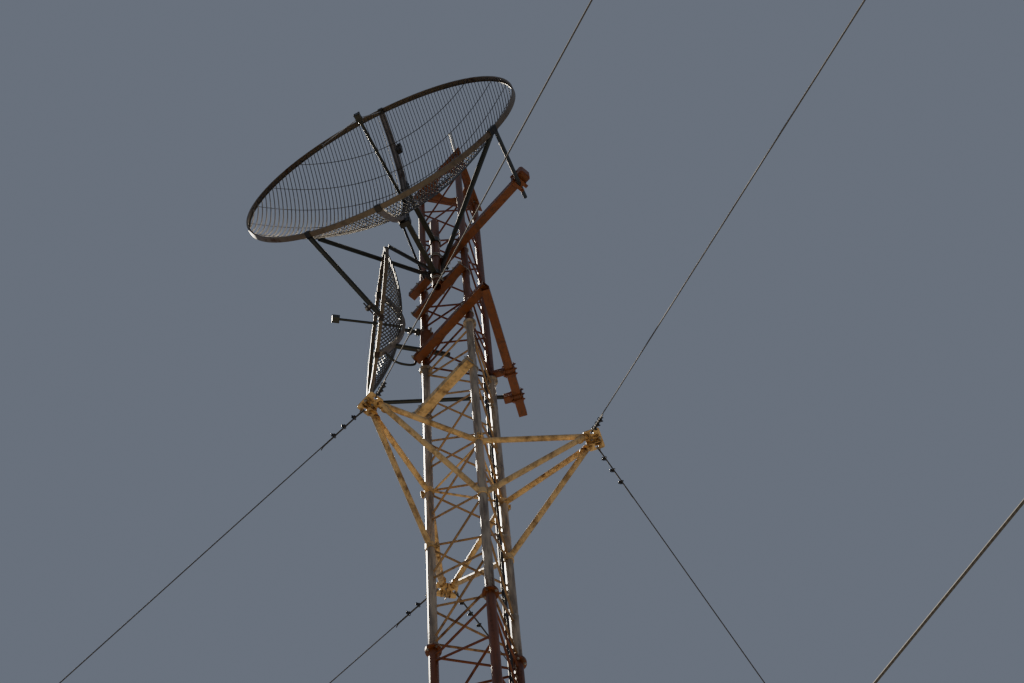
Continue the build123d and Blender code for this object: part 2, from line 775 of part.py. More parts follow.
# Pipes beside the left leg that hold the spine of the small dish
small_keep_out = upright_strip(0, small_half, small_back - 200, small_spine_depth + 200 + seat,
                               4 * small_spine_width, small_focus).moved(Location(small_place))
pipes = []
for height, reach, diameter in ((small_dish_height, small_pipe_short, small_boom_pipe),
                                (small_pipe_height, small_pipe_long, small_pipe)):
    pipe_y = leg_centre("left").Y - leg_diameter / 2 - diameter / 2 - seat
    start = Vector(small_centre.X - 150, pipe_y, upper_joint + height)
    end = Vector(small_centre.X + reach, pipe_y, upper_joint + height)
    pipes.append(joined([rod(start, end, diameter)], [small_keep_out]))
save_group([pipe.solids().sort_by(Axis.X)[-1] for pipe in pipes], "small_dish_pipes")

# Strut from a foot plate on the small rim, past the back of the mast, to the right side tube
small_rim_edge = small_dish_depth + dish_rim_lip - small_rim_width - seat
low_radius = small_dish_diameter / 2 + low_strut_drop
low_start = rim_point(small_place, low_radius, small_rim_edge, low_strut_angle)
low_outward = (low_start - rim_point(small_place, 0, small_rim_edge, low_strut_angle)).normalized()
low_end = right_start + right_run * low_strut_landing - right_out * (side_tube_size / 2 + seat)
right_keep_out = square_bar(right_start, right_end, side_tube_size + 2 * seat)
with BuildPart() as foot_plate:
    plate_centre = low_start - low_outward * low_plate_drop
    with BuildSketch(Plane(origin=plate_centre, x_dir=low_outward, z_dir=-small_forward)):
        RectangleRounded(low_plate_length, low_plate_width, low_plate_radius)
    extrude(amount=low_plate_thickness)
low_rod = rod(low_start, extended(low_start, low_end, strut_overrun), strut_diameter)
low_strut = joined([foot_plate.part, low_rod], [right_keep_out, small_rim_back])
low_piece = low_strut.solids().sort_by(SortBy.VOLUME)[-1]

# Tie between the rims of the two dishes
tie_start = rim_point(big_place, start_radius, start_depth, tie_start_angle)
tie_radius = small_dish_diameter / 2 - small_rim_thickness / 2
tie_end = rim_point(small_place, tie_radius, small_dish_depth - rim_strut_inside, tie_end_angle)
small_rim_front = in_front(small_place, small_dish_depth + dish_rim_lip + seat - 300)
rim_tie = joined([rod(tie_start, tie_end, long_strut_diameter)], [big_rim_back, small_rim_front])
tie_piece = rim_tie.solids().sort_by(SortBy.VOLUME)[-1]
save_group([small_strut.solids()[0], low_piece, tie_piece], "small_dish_struts")

# Plate under the upper side tube that the struts end on, and the block on the outrigger
with BuildPart() as clamp_plate:
    plate_centre = on_side(clamp_plate_centre, strut_level + seat)
    with BuildSketch(Plane(origin=plate_centre, x_dir=side_along, z_dir=up)):
        Rectangle(clamp_plate_length, clamp_plate_width)
    extrude(amount=clamp_plate_thickness)
block_top = on_side(outrigger_along, under_outrigger - seat)
with BuildPart() as block:
    with BuildSketch(Plane(origin=block_top, x_dir=side_along, z_dir=-up)):
        Rectangle(outrigger_block, outrigger_block)
    extrude(amount=side_strut_gap + 10)
tail = rod(side_start, extended(side_start, crossing, side_strut_tail), strut_diameter + 2 * seat)
outrigger_piece = joined([block.part], [tail]).solids().sort_by(SortBy.VOLUME)[-1]
save_group([clamp_plate.part, outrigger_piece], "strut_clamps")

# Feeder cable held on the inner side of the right leg by clips
cable_radius = leg_circle_radius - flange_diameter / 2 - cable_diameter / 2 - seat
cable = direction(leg_azimuths["right"]) * cable_radius
save(rod(cable + up * cable_bottom, cable + up * (upper_joint + cable_top), cable_diameter), "feeder_cable")

# Cable of the large dish, from its spine straight to the front of the upper side tube
cable_start = big_place.from_local_coords(Vector(dish_spine_width, dish_cable_side, dish_cable_drop))
cable_end = on_side(dish_cable_along, upper_tube_height)
tube_left = on_side(-half_side - upper_tube_left, upper_tube_height)
tube_keep_out = square_bar(tube_left, on_side(0, upper_tube_height), side_tube_size + 2 * seat)
dish_cable = joined([rod(cable_start, cable_end, cable_diameter)], [spine_keep_out, tube_keep_out])
save(dish_cable.solids().sort_by(SortBy.VOLUME)[-1], "dish_cable")
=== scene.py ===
import bpy
from math import cos, pi, radians, sin, sqrt
from mathutils import Matrix, Vector


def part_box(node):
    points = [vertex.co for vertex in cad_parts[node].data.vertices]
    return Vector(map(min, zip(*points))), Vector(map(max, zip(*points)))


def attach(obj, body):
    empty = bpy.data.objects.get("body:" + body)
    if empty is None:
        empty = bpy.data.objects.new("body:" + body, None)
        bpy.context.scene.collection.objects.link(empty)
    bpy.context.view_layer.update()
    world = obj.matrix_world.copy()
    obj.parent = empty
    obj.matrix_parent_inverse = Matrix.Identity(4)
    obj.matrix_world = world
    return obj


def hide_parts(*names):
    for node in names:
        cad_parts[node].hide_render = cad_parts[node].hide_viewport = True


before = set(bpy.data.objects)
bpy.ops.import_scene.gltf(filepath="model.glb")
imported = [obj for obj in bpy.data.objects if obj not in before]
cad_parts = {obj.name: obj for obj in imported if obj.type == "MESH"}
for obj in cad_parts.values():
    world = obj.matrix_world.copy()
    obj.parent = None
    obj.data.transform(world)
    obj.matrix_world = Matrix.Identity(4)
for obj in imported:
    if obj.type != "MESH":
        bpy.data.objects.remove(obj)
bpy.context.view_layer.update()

# The camera stands near the foot of the mast, nine metres in front of it, and looks up along it
# through a short telephoto lens. It leans a little, so the mast leans in the picture.
camera_place = (-2.4263, -9.5093, 2.4682)
heading = radians(72.19)
tilt = radians(65.88)
lean = radians(-7.01)
bpy.ops.object.camera_add()
camera = bpy.context.object
camera.name = "view_from_the_foot"
camera.data.sensor_width = 36
camera.data.lens = 71.49
camera.data.clip_end = 300
camera.matrix_world = (Matrix.Translation(camera_place) @ Matrix.Rotation(heading - pi / 2, 4, "Z")
                       @ Matrix.Rotation(pi / 2 + tilt, 4, "X") @ Matrix.Rotation(lean, 4, "Z"))
bpy.context.scene.camera = camera

# Studio light: a warm lamp high behind the mast, as the sun stands on the real one, and an even cool
# surround that fills the shaded sides. The floor is a plain grey sheet under the plate and anchors.
sun_azimuth = radians(114)
sun_height = radians(62)
floor_size = 42
floor_drop = 0.004


def srgb(code):
    parts = [int(code[place:place + 2], 16) / 255 for place in (1, 3, 5)]
    return [part / 12.92 if part <= 0.04045 else ((part + 0.055) / 1.055) ** 2.4 for part in parts] + [1]


def add_node(tree, kind, inputs=None, **settings):
    node = tree.nodes.new(kind)
    for name, value in settings.items():
        setattr(node, name, value)
    for name, value in (inputs or {}).items():
        if isinstance(value, bpy.types.NodeSocket):
            tree.links.new(value, node.inputs[name])
        else:
            node.inputs[name].default_value = value
    return node


def new_material(name):
    material = bpy.data.materials.new(name)
    material.use_nodes = True
    return material, material.node_tree, material.node_tree.nodes["Principled BSDF"]


bpy.ops.object.light_add(type="SUN", location=(-20, 30, 60))
sun = bpy.context.object
sun.name = "high_lamp"
sun.data.energy = 8.5
sun.data.angle = radians(1.5)
sun.data.color = srgb("#fff3dd")[:3]
sun_level = Vector((cos(sun_azimuth), sin(sun_azimuth), 0)) * cos(sun_height)
sun_from = sun_level + Vector((0, 0, sin(sun_height)))
sun.rotation_euler = sun_from.to_track_quat("Z", "Y").to_euler()

world = bpy.data.worlds.new("cool_surround")
bpy.context.scene.world = world
world.use_nodes = True
surround = world.node_tree.nodes["Background"]
surround.inputs["Color"].default_value = srgb("#abb5c9")
surround.inputs["Strength"].default_value = 0.35

bpy.ops.mesh.primitive_plane_add(size=floor_size, location=(0, 0, -floor_drop))
floor = bpy.context.object
floor.name = "floor"
floor_paint, tree, shader = new_material("pale_floor")
shader.inputs["Base Color"].default_value = srgb("#7f7b74")
shader.inputs["Roughness"].default_value = 0.9
floor.data.materials.append(floor_paint)

# Legs: three steel pipes in each six metre section, joined by bolted flanges and painted in broad
# orange and white bands. The paint has chalked and gone grey with soot and with painted shade, and rust
# gathers at the flanges.
section_height = 6.0
first_joint = 0.03


def painted_steel(name, fresh, faded, rust, grime, rusting, soot, joint_pitch=section_height,
                  streak=(26.0, 26.0, 1.1)):
    # Brush-painted steel: a chalky film, soot drawn out lengthwise, pits of rust, and rust above each joint
    material, tree, shader = new_material(name)
    place = add_node(tree, "ShaderNodeTexCoord").outputs["Object"]
    patches = add_node(tree, "ShaderNodeTexNoise",
                       {"Vector": place, "Scale": 2.2, "Detail": 5.0, "Roughness": 0.6})
    film = add_node(tree, "ShaderNodeMix", {0: patches.outputs["Fac"], 6: srgb(fresh), 7: srgb(faded)},
                    data_type="RGBA")
    long_way = add_node(tree, "ShaderNodeMapping", {"Vector": place, "Scale": (15.0, 15.0, 1.7)})
    run_off = add_node(tree, "ShaderNodeTexNoise",
                       {"Vector": long_way.outputs[0], "Scale": 1.0, "Detail": 7.0, "Roughness": 0.65})
    sooty = add_node(tree, "ShaderNodeMapRange",
                     {"Value": run_off.outputs["Fac"], "From Min": 0.62 - 0.35 * soot,
                      "From Max": 0.72 - 0.2 * soot, "To Max": min(1.0, 1.5 * soot)})
    dirty = add_node(tree, "ShaderNodeMix", {0: sooty.outputs[0], 6: film.outputs[2], 7: srgb(grime)},
                     data_type="RGBA")
    drawn = add_node(tree, "ShaderNodeMapping", {"Vector": place, "Scale": streak})
    streaks = add_node(tree, "ShaderNodeTexNoise", {"Vector": drawn.outputs[0], "Scale": 1.0, "Detail": 6.0})
    pits = add_node(tree, "ShaderNodeTexNoise",
                    {"Vector": place, "Scale": 30.0, "Detail": 9.0, "Roughness": 0.62})
    height = add_node(tree, "ShaderNodeSeparateXYZ", {0: place}).outputs["Z"]
    from_base = add_node(tree, "ShaderNodeMath", {0: height, 1: first_joint}, operation="SUBTRACT").outputs[0]
    above_joint = add_node(tree, "ShaderNodeMath", {0: from_base, 1: joint_pitch},
                           operation="FLOORED_MODULO").outputs[0]
    near_joint = add_node(tree, "ShaderNodeMapRange",
                          {"Value": above_joint, "From Max": 0.4, "To Min": 0.17, "To Max": 0.0}).outputs[0]
    fine = add_node(tree, "ShaderNodeMath", {0: pits.outputs["Fac"], 1: 0.35},
                    operation="MULTIPLY").outputs[0]
    weight = add_node(tree, "ShaderNodeMath", {0: streaks.outputs["Fac"], 1: 0.65, 2: fine},
                      operation="MULTIPLY_ADD").outputs[0]
    weight = add_node(tree, "ShaderNodeMath", {0: weight, 1: near_joint}, operation="ADD").outputs[0]
    edge = 0.66 - 0.25 * rusting
    rusted = add_node(tree, "ShaderNodeMapRange",
                      {"Value": weight, "From Min": edge, "From Max": edge + 0.16})
    colour = add_node(tree, "ShaderNodeMix", {0: rusted.outputs[0], 6: dirty.outputs[2], 7: srgb(rust)},
                      data_type="RGBA")
    tree.links.new(colour.outputs[2], shader.inputs["Base Color"])
    dullness = add_node(tree, "ShaderNodeMapRange",
                        {"Value": rusted.outputs[0], "To Min": 0.42, "To Max": 0.88})
    tree.links.new(dullness.outputs[0], shader.inputs["Roughness"])
    relief = add_node(tree, "ShaderNodeMath", {0: pits.outputs["Fac"], 1: rusted.outputs[0]}, operation="ADD")
    bump = add_node(tree, "ShaderNodeBump",
                    {"Strength": 0.35, "Distance": 0.001, "Height": relief.outputs[0]})
    tree.links.new(bump.outputs[0], shader.inputs["Normal"])
    return material


def finish(material, *names):
    for name in names:
        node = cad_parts[name]
        node.data.materials.clear()
        node.data.materials.append(material)


# Both leg paints are darker than the real paint: the extra darkness is painted shade.
orange_steel = painted_steel("orange_painted_steel", "#662e05", "#7e430e", "#331809", "#3b210d", 0.42, 0.4)
white_steel = painted_steel("white_painted_steel", "#a5947d", "#c4b399", "#5a3622", "#625446", 0.36, 0.56)
finish(orange_steel, "legs_1", "legs_3", "legs_5")
finish(white_steel, "legs_2", "legs_4")

# Bolts through the leg flanges: zinc-plated hexagon bolts with a washer under the head and the nut,
# four to a flange, also where the legs stand on the base plate and under the top plate.
leg_circle = 0.45
leg_radius = 0.04445
flange_circle = 0.061
flange_thickness = 0.016
joints = [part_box(f"legs_{number}")[0].z for number in range(1, 6)] + [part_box("legs_5")[1].z]
legs = {"near": radians(-90), "right": radians(30), "left": radians(150)}


def leg_at(azimuth, height=0.0):
    return Vector((cos(azimuth) * leg_circle, sin(azimuth) * leg_circle, height))


def zinc(name, tone, stain, spread, metallic=0.55, rough=0.42):
    # Hot-dip zinc: a soft grey metal with a mottled spangle of about 12 mm and some brown staining
    material, tree, shader = new_material(name)
    place = add_node(tree, "ShaderNodeTexCoord").outputs["Object"]
    spangle = add_node(tree, "ShaderNodeTexVoronoi", {"Vector": place, "Scale": 80.0})
    cloud = add_node(tree, "ShaderNodeTexNoise", {"Vector": place, "Scale": 14.0, "Detail": 6.0})
    stained = add_node(tree, "ShaderNodeMapRange",
                       {"Value": cloud.outputs["Fac"], "From Min": 0.62 - spread, "From Max": 0.78 - spread})
    colour = add_node(tree, "ShaderNodeMix", {0: stained.outputs[0], 6: srgb(tone), 7: srgb(stain)},
                      data_type="RGBA")
    tree.links.new(colour.outputs[2], shader.inputs["Base Color"])
    shader.inputs["Metallic"].default_value = metallic
    shine = add_node(tree, "ShaderNodeMapRange",
                     {"Value": spangle.outputs["Distance"], "To Min": rough, "To Max": rough + 0.2})
    tree.links.new(shine.outputs[0], shader.inputs["Roughness"])
    bump = add_node(tree, "ShaderNodeBump",
                    {"Strength": 0.15, "Distance": 0.0005, "Height": cloud.outputs["Fac"]})
    tree.links.new(bump.outputs[0], shader.inputs["Normal"])
    return material


bolt_zinc = zinc("bolt_zinc", "#a5a29b", "#5e4130", 0.1)


def clear_selection():
    bpy.ops.object.select_all(action="DESELECT")


def select_only(piece):
    clear_selection()
    piece.select_set(True)
    bpy.context.view_layer.objects.active = piece


def join(pieces, name):
    clear_selection()
    for piece in pieces:
        piece.select_set(True)
    bpy.context.view_layer.objects.active = pieces[0]
    if len(pieces) > 1:
        bpy.ops.object.join()
    bpy.ops.object.transform_apply(location=True, rotation=True, scale=True)
    joined = bpy.context.object
    joined.name = name
    clear_selection()
    return joined


def cylinder(start, end, radius, sides):
    clear_selection()
    run = Vector(end) - Vector(start)
    bpy.ops.mesh.primitive_cylinder_add(vertices=sides, radius=radius, depth=run.length,
                                        location=(Vector(start) + Vector(end)) / 2,
                                        rotation=run.to_track_quat("Z", "Y").to_euler())
    return bpy.context.object


def bevel_edges(piece, width):
    select_only(piece)
    bpy.ops.object.transform_apply(location=True, rotation=True, scale=True)
    bpy.ops.object.mode_set(mode="EDIT")
    bpy.ops.mesh.select_all(action="SELECT")
    bpy.ops.mesh.bevel(offset=width, segments=1)
    bpy.ops.object.mode_set(mode="OBJECT")
    return piece


def hex_nut(start, end, diameter):
    return bevel_edges(cylinder(start, end, diameter * 0.95, 6), diameter * 0.08)


def hex_bolt(diameter, grip):
    head = hex_nut((0, 0, grip), (0, 0, grip + diameter * 0.65), diameter)
    nut = hex_nut((0, 0, -diameter * 0.8), (0, 0, 0), diameter)
    upper = cylinder((0, 0, grip), (0, 0, grip + diameter * 0.15), diameter * 1.15, 16)
    lower = cylinder((0, 0, -diameter * 0.15), (0, 0, 0), diameter * 1.15, 16)
    shank = cylinder((0, 0, -diameter * 1.1), (0, 0, grip), diameter * 0.45, 10)
    return join([head, nut, upper, lower, shank], "bolt")


def repeat(template, places, name):
    copies = []
    for place in places:
        copy = bpy.data.objects.new(name, template.data.copy())
        copy.data.transform(place)
        bpy.context.scene.collection.objects.link(copy)
        copies.append(copy)
    bpy.data.objects.remove(template)
    return join(copies, name)


def dress(piece, material):
    piece.data.materials.clear()
    piece.data.materials.append(material)
    select_only(piece)
    bpy.ops.object.shade_smooth_by_angle(angle=radians(35))
    clear_selection()
    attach(piece, "root")


top_plate_thickness = 0.012
bolt_rows = [height - flange_thickness for height in joints]
bolt_rows[-1] = joints[-1] + top_plate_thickness - 2 * flange_thickness
flange_bolt = 0.012
places = []
for height in bolt_rows:
    for azimuth in legs.values():
        for step in range(4):
            turn = azimuth + radians(45 + 90 * step)
            spot = leg_at(azimuth, height) + Vector((cos(turn), sin(turn), 0)) * flange_circle
            places.append(Matrix.Translation(spot) @ Matrix.Rotation(turn, 4, "Z"))
flange_bolts = repeat(hex_bolt(flange_bolt, 2 * flange_thickness), places, "flange_bolts")
dress(flange_bolts, bolt_zinc)

# Foundation bolts: six threaded studs that come up through the base plate, each with a square washer
# and two nuts. They are zinc-coated and stand a little proud.
stud_circle = 0.55
plate_top = joints[0]
stud_size = 0.024
washer = bevel_edges(cylinder((0, 0, 0), (0, 0, 0.006), 0.042, 4), 0.002)
main_nut = hex_nut((0, 0, 0.006), (0, 0, 0.026), stud_size)
lock_nut = hex_nut((0, 0, 0.027), (0, 0, 0.038), stud_size)
stud = bevel_edges(cylinder((0, 0, -0.02), (0, 0, 0.058), stud_size / 2, 14), 0.0015)
foundation_bolt = join([washer, main_nut, lock_nut, stud], "foundation_bolt")
places = [Matrix.Rotation(radians(turn), 4, "Z") @ Matrix.Translation((stud_circle, 0, plate_top))
          for turn in range(0, 360, 60)]
foundation_bolts = repeat(foundation_bolt, places, "foundation_bolts")
dress(foundation_bolts, bolt_zinc)

# Bracing: round bars bent into a zigzag and welded to the inner sides of the legs, ten to a side in
# each section, with a level bar near each flange. Every end carries a small weld bead.
bracing_margin = 0.206
joint_gap = 0.115
level_bar = 0.11
weld_radius = 0.017
leg_bite = 0.004
bar_radius = 0.012
bar_count = 10
bar_pitch = (section_height - 2 * bracing_margin + joint_gap) / bar_count
even_way = (8.0, 8.0, 6.0)
tan_steel = painted_steel("tan_painted_bars", "#94724a", "#b4915f", "#5a361c", "#54452f", 0.4, 0.4,
                          streak=even_way)
# The orange bars get the same darkened orange, with painted shade in it.
orange_bars = painted_steel("orange_painted_bars", "#662e05", "#7e430e", "#331809", "#3b210d", 0.42, 0.4,
                            streak=even_way)


def bracing_side():
    start = leg_at(legs["left"])
    end = leg_at(legs["near"])
    run = (end - start).normalized()
    start = start + run * (leg_radius - leg_bite)
    end = end - run * (leg_radius - leg_bite)
    ends = []
    for step in range(bar_count):
        top = Vector((0, 0, section_height - bracing_margin - step * bar_pitch))
        low = top - Vector((0, 0, bar_pitch - joint_gap))
        ends.append((start + top, end + low) if step % 2 == 0 else (end + top, start + low))
    for level in (level_bar, section_height - level_bar):
        ends.append((start + Vector((0, 0, level)), end + Vector((0, 0, level))))
    pieces = []
    for first, last in ends:
        pieces.append(cylinder(first, last, bar_radius, 10))
        for spot in (first, last):
            bpy.ops.mesh.primitive_uv_sphere_add(segments=8, ring_count=5, radius=weld_radius, location=spot)
            pieces.append(bpy.context.object)
    return join(pieces, "side")


for number, height in enumerate(joints[:-1], start=1):
    turns = [Matrix.Translation((0, 0, height)) @ Matrix.Rotation(radians(turn), 4, "Z")
             for turn in (0, 120, 240)]
    bracing = repeat(bracing_side(), turns, f"round_bracing_{number}")
    paint, slot = (orange_bars, "orange_paint") if number % 2 else (tan_steel, "white_paint")
    dress(bracing, paint)
    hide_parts(f"bracing_{number}")

# Guy arms: ochre-painted tubes that spread from clamp rings on two legs to a flat tip plate, where
# two guys start. The paint is worn through to brown steel along the tubes. One side tube has it too.
ochre_steel = painted_steel("ochre_painted_steel", "#cba565", "#e9c891", "#5b3c21", "#80643f", 0.52,
                            0.45, streak=even_way)
finish(ochre_steel, "guy_arms", "guy_arm_clamps", "spare_side_tube")

# Fittings of the guy arms: split ears with two bolts on each clamp ring, and at each tip a web plate
# with thick rusty welds round the tube ends. They were brushed with the same ochre paint, now mostly gone.
rusty_steel = painted_steel("rusty_welds", "#b98c4d", "#d3a96b", "#4c2d16", "#705330", 0.75, 0.45,
                            streak=(30.0, 30.0, 30.0))
arm_upper = joints[3] + 2.997
arm_lower = joints[3] + 1.856
arm_reach = 1.34
tip_azimuths = {radians(-30): ("near", "right"), radians(90): ("right", "left"),
                radians(-150): ("left", "near")}
ear_size = (0.04, 0.012, 0.074)
ear_out = 0.071
ear_side = 0.011
ear_bolt = 0.012
ear_bolt_out = 0.074
ear_bolt_half = 0.034


def turned(spot, upright, forward):
    z_axis = Vector(upright).normalized()
    x_axis = (Vector(forward) - z_axis * Vector(forward).dot(z_axis)).normalized()
    place = Matrix((x_axis, z_axis.cross(x_axis), z_axis)).transposed().to_4x4()
    place.translation = Vector(spot)
    return place


def block(size, centre, bevel):
    clear_selection()
    bpy.ops.mesh.primitive_cube_add(size=1, location=centre, scale=size)
    return bevel_edges(bpy.context.object, bevel)


ear_pieces = [block(ear_size, (ear_out, side, 0), 0.003) for side in (ear_side, -ear_side)]
for level in (-0.022, 0.022):
    ear_pieces.append(cylinder((ear_bolt_out, -ear_bolt_half, level), (ear_bolt_out, ear_bolt_half, level),
                               ear_bolt / 2, 10))
    ear_pieces.append(hex_nut((ear_bolt_out, 0.017, level), (ear_bolt_out, 0.028, level), ear_bolt))
    ear_pieces.append(hex_nut((ear_bolt_out, -0.028, level), (ear_bolt_out, -0.017, level), ear_bolt))
places = [turned(leg_at(azimuth, level), (0, 0, 1), leg_at(azimuth) * (-1 if level == arm_lower else 1))
          for azimuth in legs.values() for level in (arm_upper, arm_lower)]
clamp_ears = repeat(join(ear_pieces, "ear"), places, "arm_clamp_ears")
dress(clamp_ears, ochre_steel)

tip_pieces = [block((0.15, 0.01, 0.085), (-0.012, 0, -0.047), 0.003)]
for hand in (-1, 1):
    tip_pieces.append(block((0.07, 0.012, 0.05), (0.03, hand * 0.045, -0.03), 0.004))
    bpy.ops.mesh.primitive_uv_sphere_add(segments=14, ring_count=9, radius=0.045,
                                         location=(-0.095, hand * 0.064, -0.012), scale=(1.25, 0.9, 0.7))
    tip_pieces.append(bpy.context.object)
    bpy.ops.mesh.primitive_uv_sphere_add(segments=14, ring_count=9, radius=0.043,
                                         location=(-0.135, hand * 0.068, -0.045), scale=(1.1, 0.95, 1.0))
    tip_pieces.append(bpy.context.object)
tip_fitting = join(tip_pieces, "tip_fitting")
places = [Matrix.Rotation(turn, 4, "Z") @ Matrix.Translation((arm_reach, 0, arm_upper))
          for turn in tip_azimuths]
tip_fittings = repeat(tip_fitting, places, "arm_tip_fittings")
dress(tip_fittings, rusty_steel)

tip_grip = 0.014
places = [Matrix.Rotation(turn, 4, "Z") @ Matrix.Translation((arm_reach + out, 0, arm_upper - tip_grip / 2))
          @ Matrix.Rotation(side, 4, "Z")
          for turn in tip_azimuths for out, side in ((0.06, 0.3), (-0.02, 0.8))]
tip_bolts = repeat(hex_bolt(0.016, tip_grip), places, "arm_tip_bolts")
dress(tip_bolts, bolt_zinc)

# Side tubes: square hollow sections bolted across the legs, and the round pipe that stands on them.
# They have the same orange paint as the top section, darkened with painted shade, and some rust.
dark_orange = painted_steel("side_tube_paint", "#682f06", "#84460f", "#341909", "#44280f", 0.34, 0.4, 9.0)
finish(dark_orange, "upper_side_tube", "middle_side_tube", "lower_side_tube", "right_side_tube",
       "right_tube_link", "mount_pipe", "top_plate", "strut_clamps")

# U-bolts of the side tubes: a bent round bar goes round the leg, or round the mount pipe, and through
# the square tube, with a washer and a nut on each end. Galvanised, with brown stains.
side_out = Vector((cos(radians(-150)), sin(radians(-150)), 0))
side_along = Vector((cos(radians(-60)), sin(radians(-60)), 0))
half_side = leg_circle * sqrt(3) / 2
tube_size = 0.1
tube_distance = leg_circle / 2 + leg_radius + tube_size / 2
tube_levels = {"upper": 2.325, "middle": 1.573, "lower": 0.27, "spare": -1.252}
pipe_radius = 0.05715
pipe_distance = tube_distance + tube_size / 2 + pipe_radius
pipe_along = 0.081
leg_bolt = 0.016
pipe_bolt = 0.014
nut_seat = 1.6
washer_share = 0.25
bolt_end = nut_seat + washer_share


def on_side(along, height, distance=tube_distance):
    return side_out * distance + side_along * along + Vector((0, 0, joints[4] + height))


def u_bolt(bar, bend, straight):
    # Bent in the level plane round the origin, with both threaded ends toward -X. The inner face of each
    # nut is nut_seat bar widths from the end, and a washer lies under it
    clear_selection()
    bpy.ops.mesh.primitive_circle_add(vertices=10, radius=bar / 2, fill_type="NGON",
                                      location=(-straight, bend, 0), rotation=(0, pi / 2, 0))
    bent = bpy.context.object
    bpy.ops.object.transform_apply(location=True, rotation=True, scale=True)
    bpy.ops.object.mode_set(mode="EDIT")
    bpy.ops.mesh.select_all(action="SELECT")
    bpy.ops.mesh.extrude_region_move(TRANSFORM_OT_translate={"value": (straight, 0, 0)})
    bpy.ops.mesh.spin(steps=10, angle=pi, center=(0, 0, 0), axis=(0, 0, 1))
    bpy.ops.mesh.extrude_region_move(TRANSFORM_OT_translate={"value": (-straight, 0, 0)})
    bpy.ops.mesh.select_all(action="SELECT")
    bpy.ops.mesh.remove_doubles(threshold=0.0001)
    bpy.ops.mesh.normals_make_consistent(inside=False)
    bpy.ops.object.mode_set(mode="OBJECT")
    pieces = [bent]
    for hand in (-bend, bend):
        seat = nut_seat * bar - straight
        pieces.append(hex_nut((seat - bar * 0.85, hand, 0), (seat, hand, 0), bar))
        pieces.append(cylinder((seat, hand, 0), (seat + bar * washer_share, hand, 0), bar * 1.3, 16))
    return join(pieces, "u_bolt")


leg_reach = tube_distance + tube_size / 2 - leg_circle / 2 + bolt_end * leg_bolt
places = [turned(on_side(side, level, leg_circle / 2), (0, 0, 1), -side_out)
          for side in (-half_side, half_side) for level in tube_levels.values()]
leg_u_bolts = repeat(u_bolt(leg_bolt, leg_radius + 0.009, leg_reach), places, "leg_u_bolts")
dress(leg_u_bolts, bolt_zinc)
pipe_reach = pipe_radius + tube_size + bolt_end * pipe_bolt
places = [turned(on_side(pipe_along, tube_levels[name] + drop, pipe_distance), (0, 0, 1), side_out)
          for name in ("upper", "middle") for drop in (-0.026, 0.026)]
pipe_u_bolts = repeat(u_bolt(pipe_bolt, pipe_radius + 0.0085, pipe_reach), places, "pipe_u_bolts")
dress(pipe_u_bolts, bolt_zinc)

# Clamps on the side tubes: dark flat bars above and below the upper tube, drawn together by threaded
# rods over the strut ends, and plates with four rods on the outrigger and on the right side tube.
black_steel = painted_steel("black_painted_clamps", "#1d1c1a", "#2f2b26", "#3a2417", "#161412", 0.35, 0.5)


def rod_clamp(length, width, gap, bar, flat=0.008):
    # Two flat bars at the heights +-gap/2, with a rod and nuts at each end of their length
    pieces = []
    for hand in (-1, 1):
        pieces.append(block((length, width, flat), (0, 0, hand * (gap + flat) / 2), 0.002))
        spot = hand * (length / 2 - bar * 1.3)
        edge = gap / 2 + flat
        pieces.append(cylinder((spot, 0, -edge - bar * 1.6), (spot, 0, edge + bar * 1.6), bar / 2, 10))
        for side in (-1, 1):
            ends = sorted((side * edge, side * (edge + bar * 0.85)))
            pieces.append(hex_nut((spot, 0, ends[0]), (spot, 0, ends[1]), bar))
    return join(pieces, "rod_clamp")


plate_centre = -0.04
places = [turned(on_side(plate_centre + along, tube_levels["upper"] - 0.006), (0, 0, 1), side_out)
          for along in (-0.12, -0.04, 0.05, 0.13)]
plate_clamps = repeat(rod_clamp(0.18, 0.036, 0.124, 0.014), places, "strut_plate_clamps")
dress(plate_clamps, black_steel)
outrigger_length = 1.212
side_strut_inset = 0.06
outrigger_end = half_side + outrigger_length - side_strut_inset
places = [turned(on_side(outrigger_end + along, tube_levels["upper"] - 0.05), (0, 0, 1), side_out)
          for along in (-0.036, 0.036)]
outrigger_clamps = repeat(rod_clamp(0.19, 0.045, 0.208, 0.014, 0.01), places, "outrigger_clamps")
dress(outrigger_clamps, dark_orange)
outrigger_pad = block((0.16, 0.21, 0.2), (0, 0.028, 0.03), 0.022)
outrigger_pad.data.transform(turned(on_side(outrigger_end, tube_levels["upper"]), (0, 0, 1), side_out))
dress(join([outrigger_pad], "outrigger_pad"), dark_orange)

right_azimuth = radians(63.3)
right_run = Vector((cos(right_azimuth), sin(right_azimuth), 0))
right_out = Vector((right_run.y, -right_run.x, 0))
lower_tube_right = 0.41
right_tube_inset = 0.018
right_tube_lead = 0.012
strut_landing = 1.43
under_lower_tube = tube_levels["lower"] - tube_size - 0.0003
right_start = on_side(half_side + lower_tube_right - right_tube_inset, under_lower_tube)
right_start -= right_run * right_tube_lead
link_at = (leg_at(legs["right"]) - right_start).dot(right_run)
places = [turned(right_start + right_run * (landing + step), right_out, (0, 0, 1))
          for landing in (link_at, strut_landing) for step in (-0.03, 0.03)]
right_clamps = repeat(rod_clamp(0.176, 0.042, 0.102, 0.014, 0.012), places, "right_tube_clamps")
dress(right_clamps, dark_orange)
strut_shoe = block((0.09, 0.11, 0.12), (0, 0, 0), 0.008)
shoe_spot = right_start + right_run * strut_landing - right_out * 0.11
strut_shoe.data.transform(turned(shoe_spot, (0, 0, 1), right_run))
dress(join([strut_shoe], "low_strut_shoe"), dark_orange)

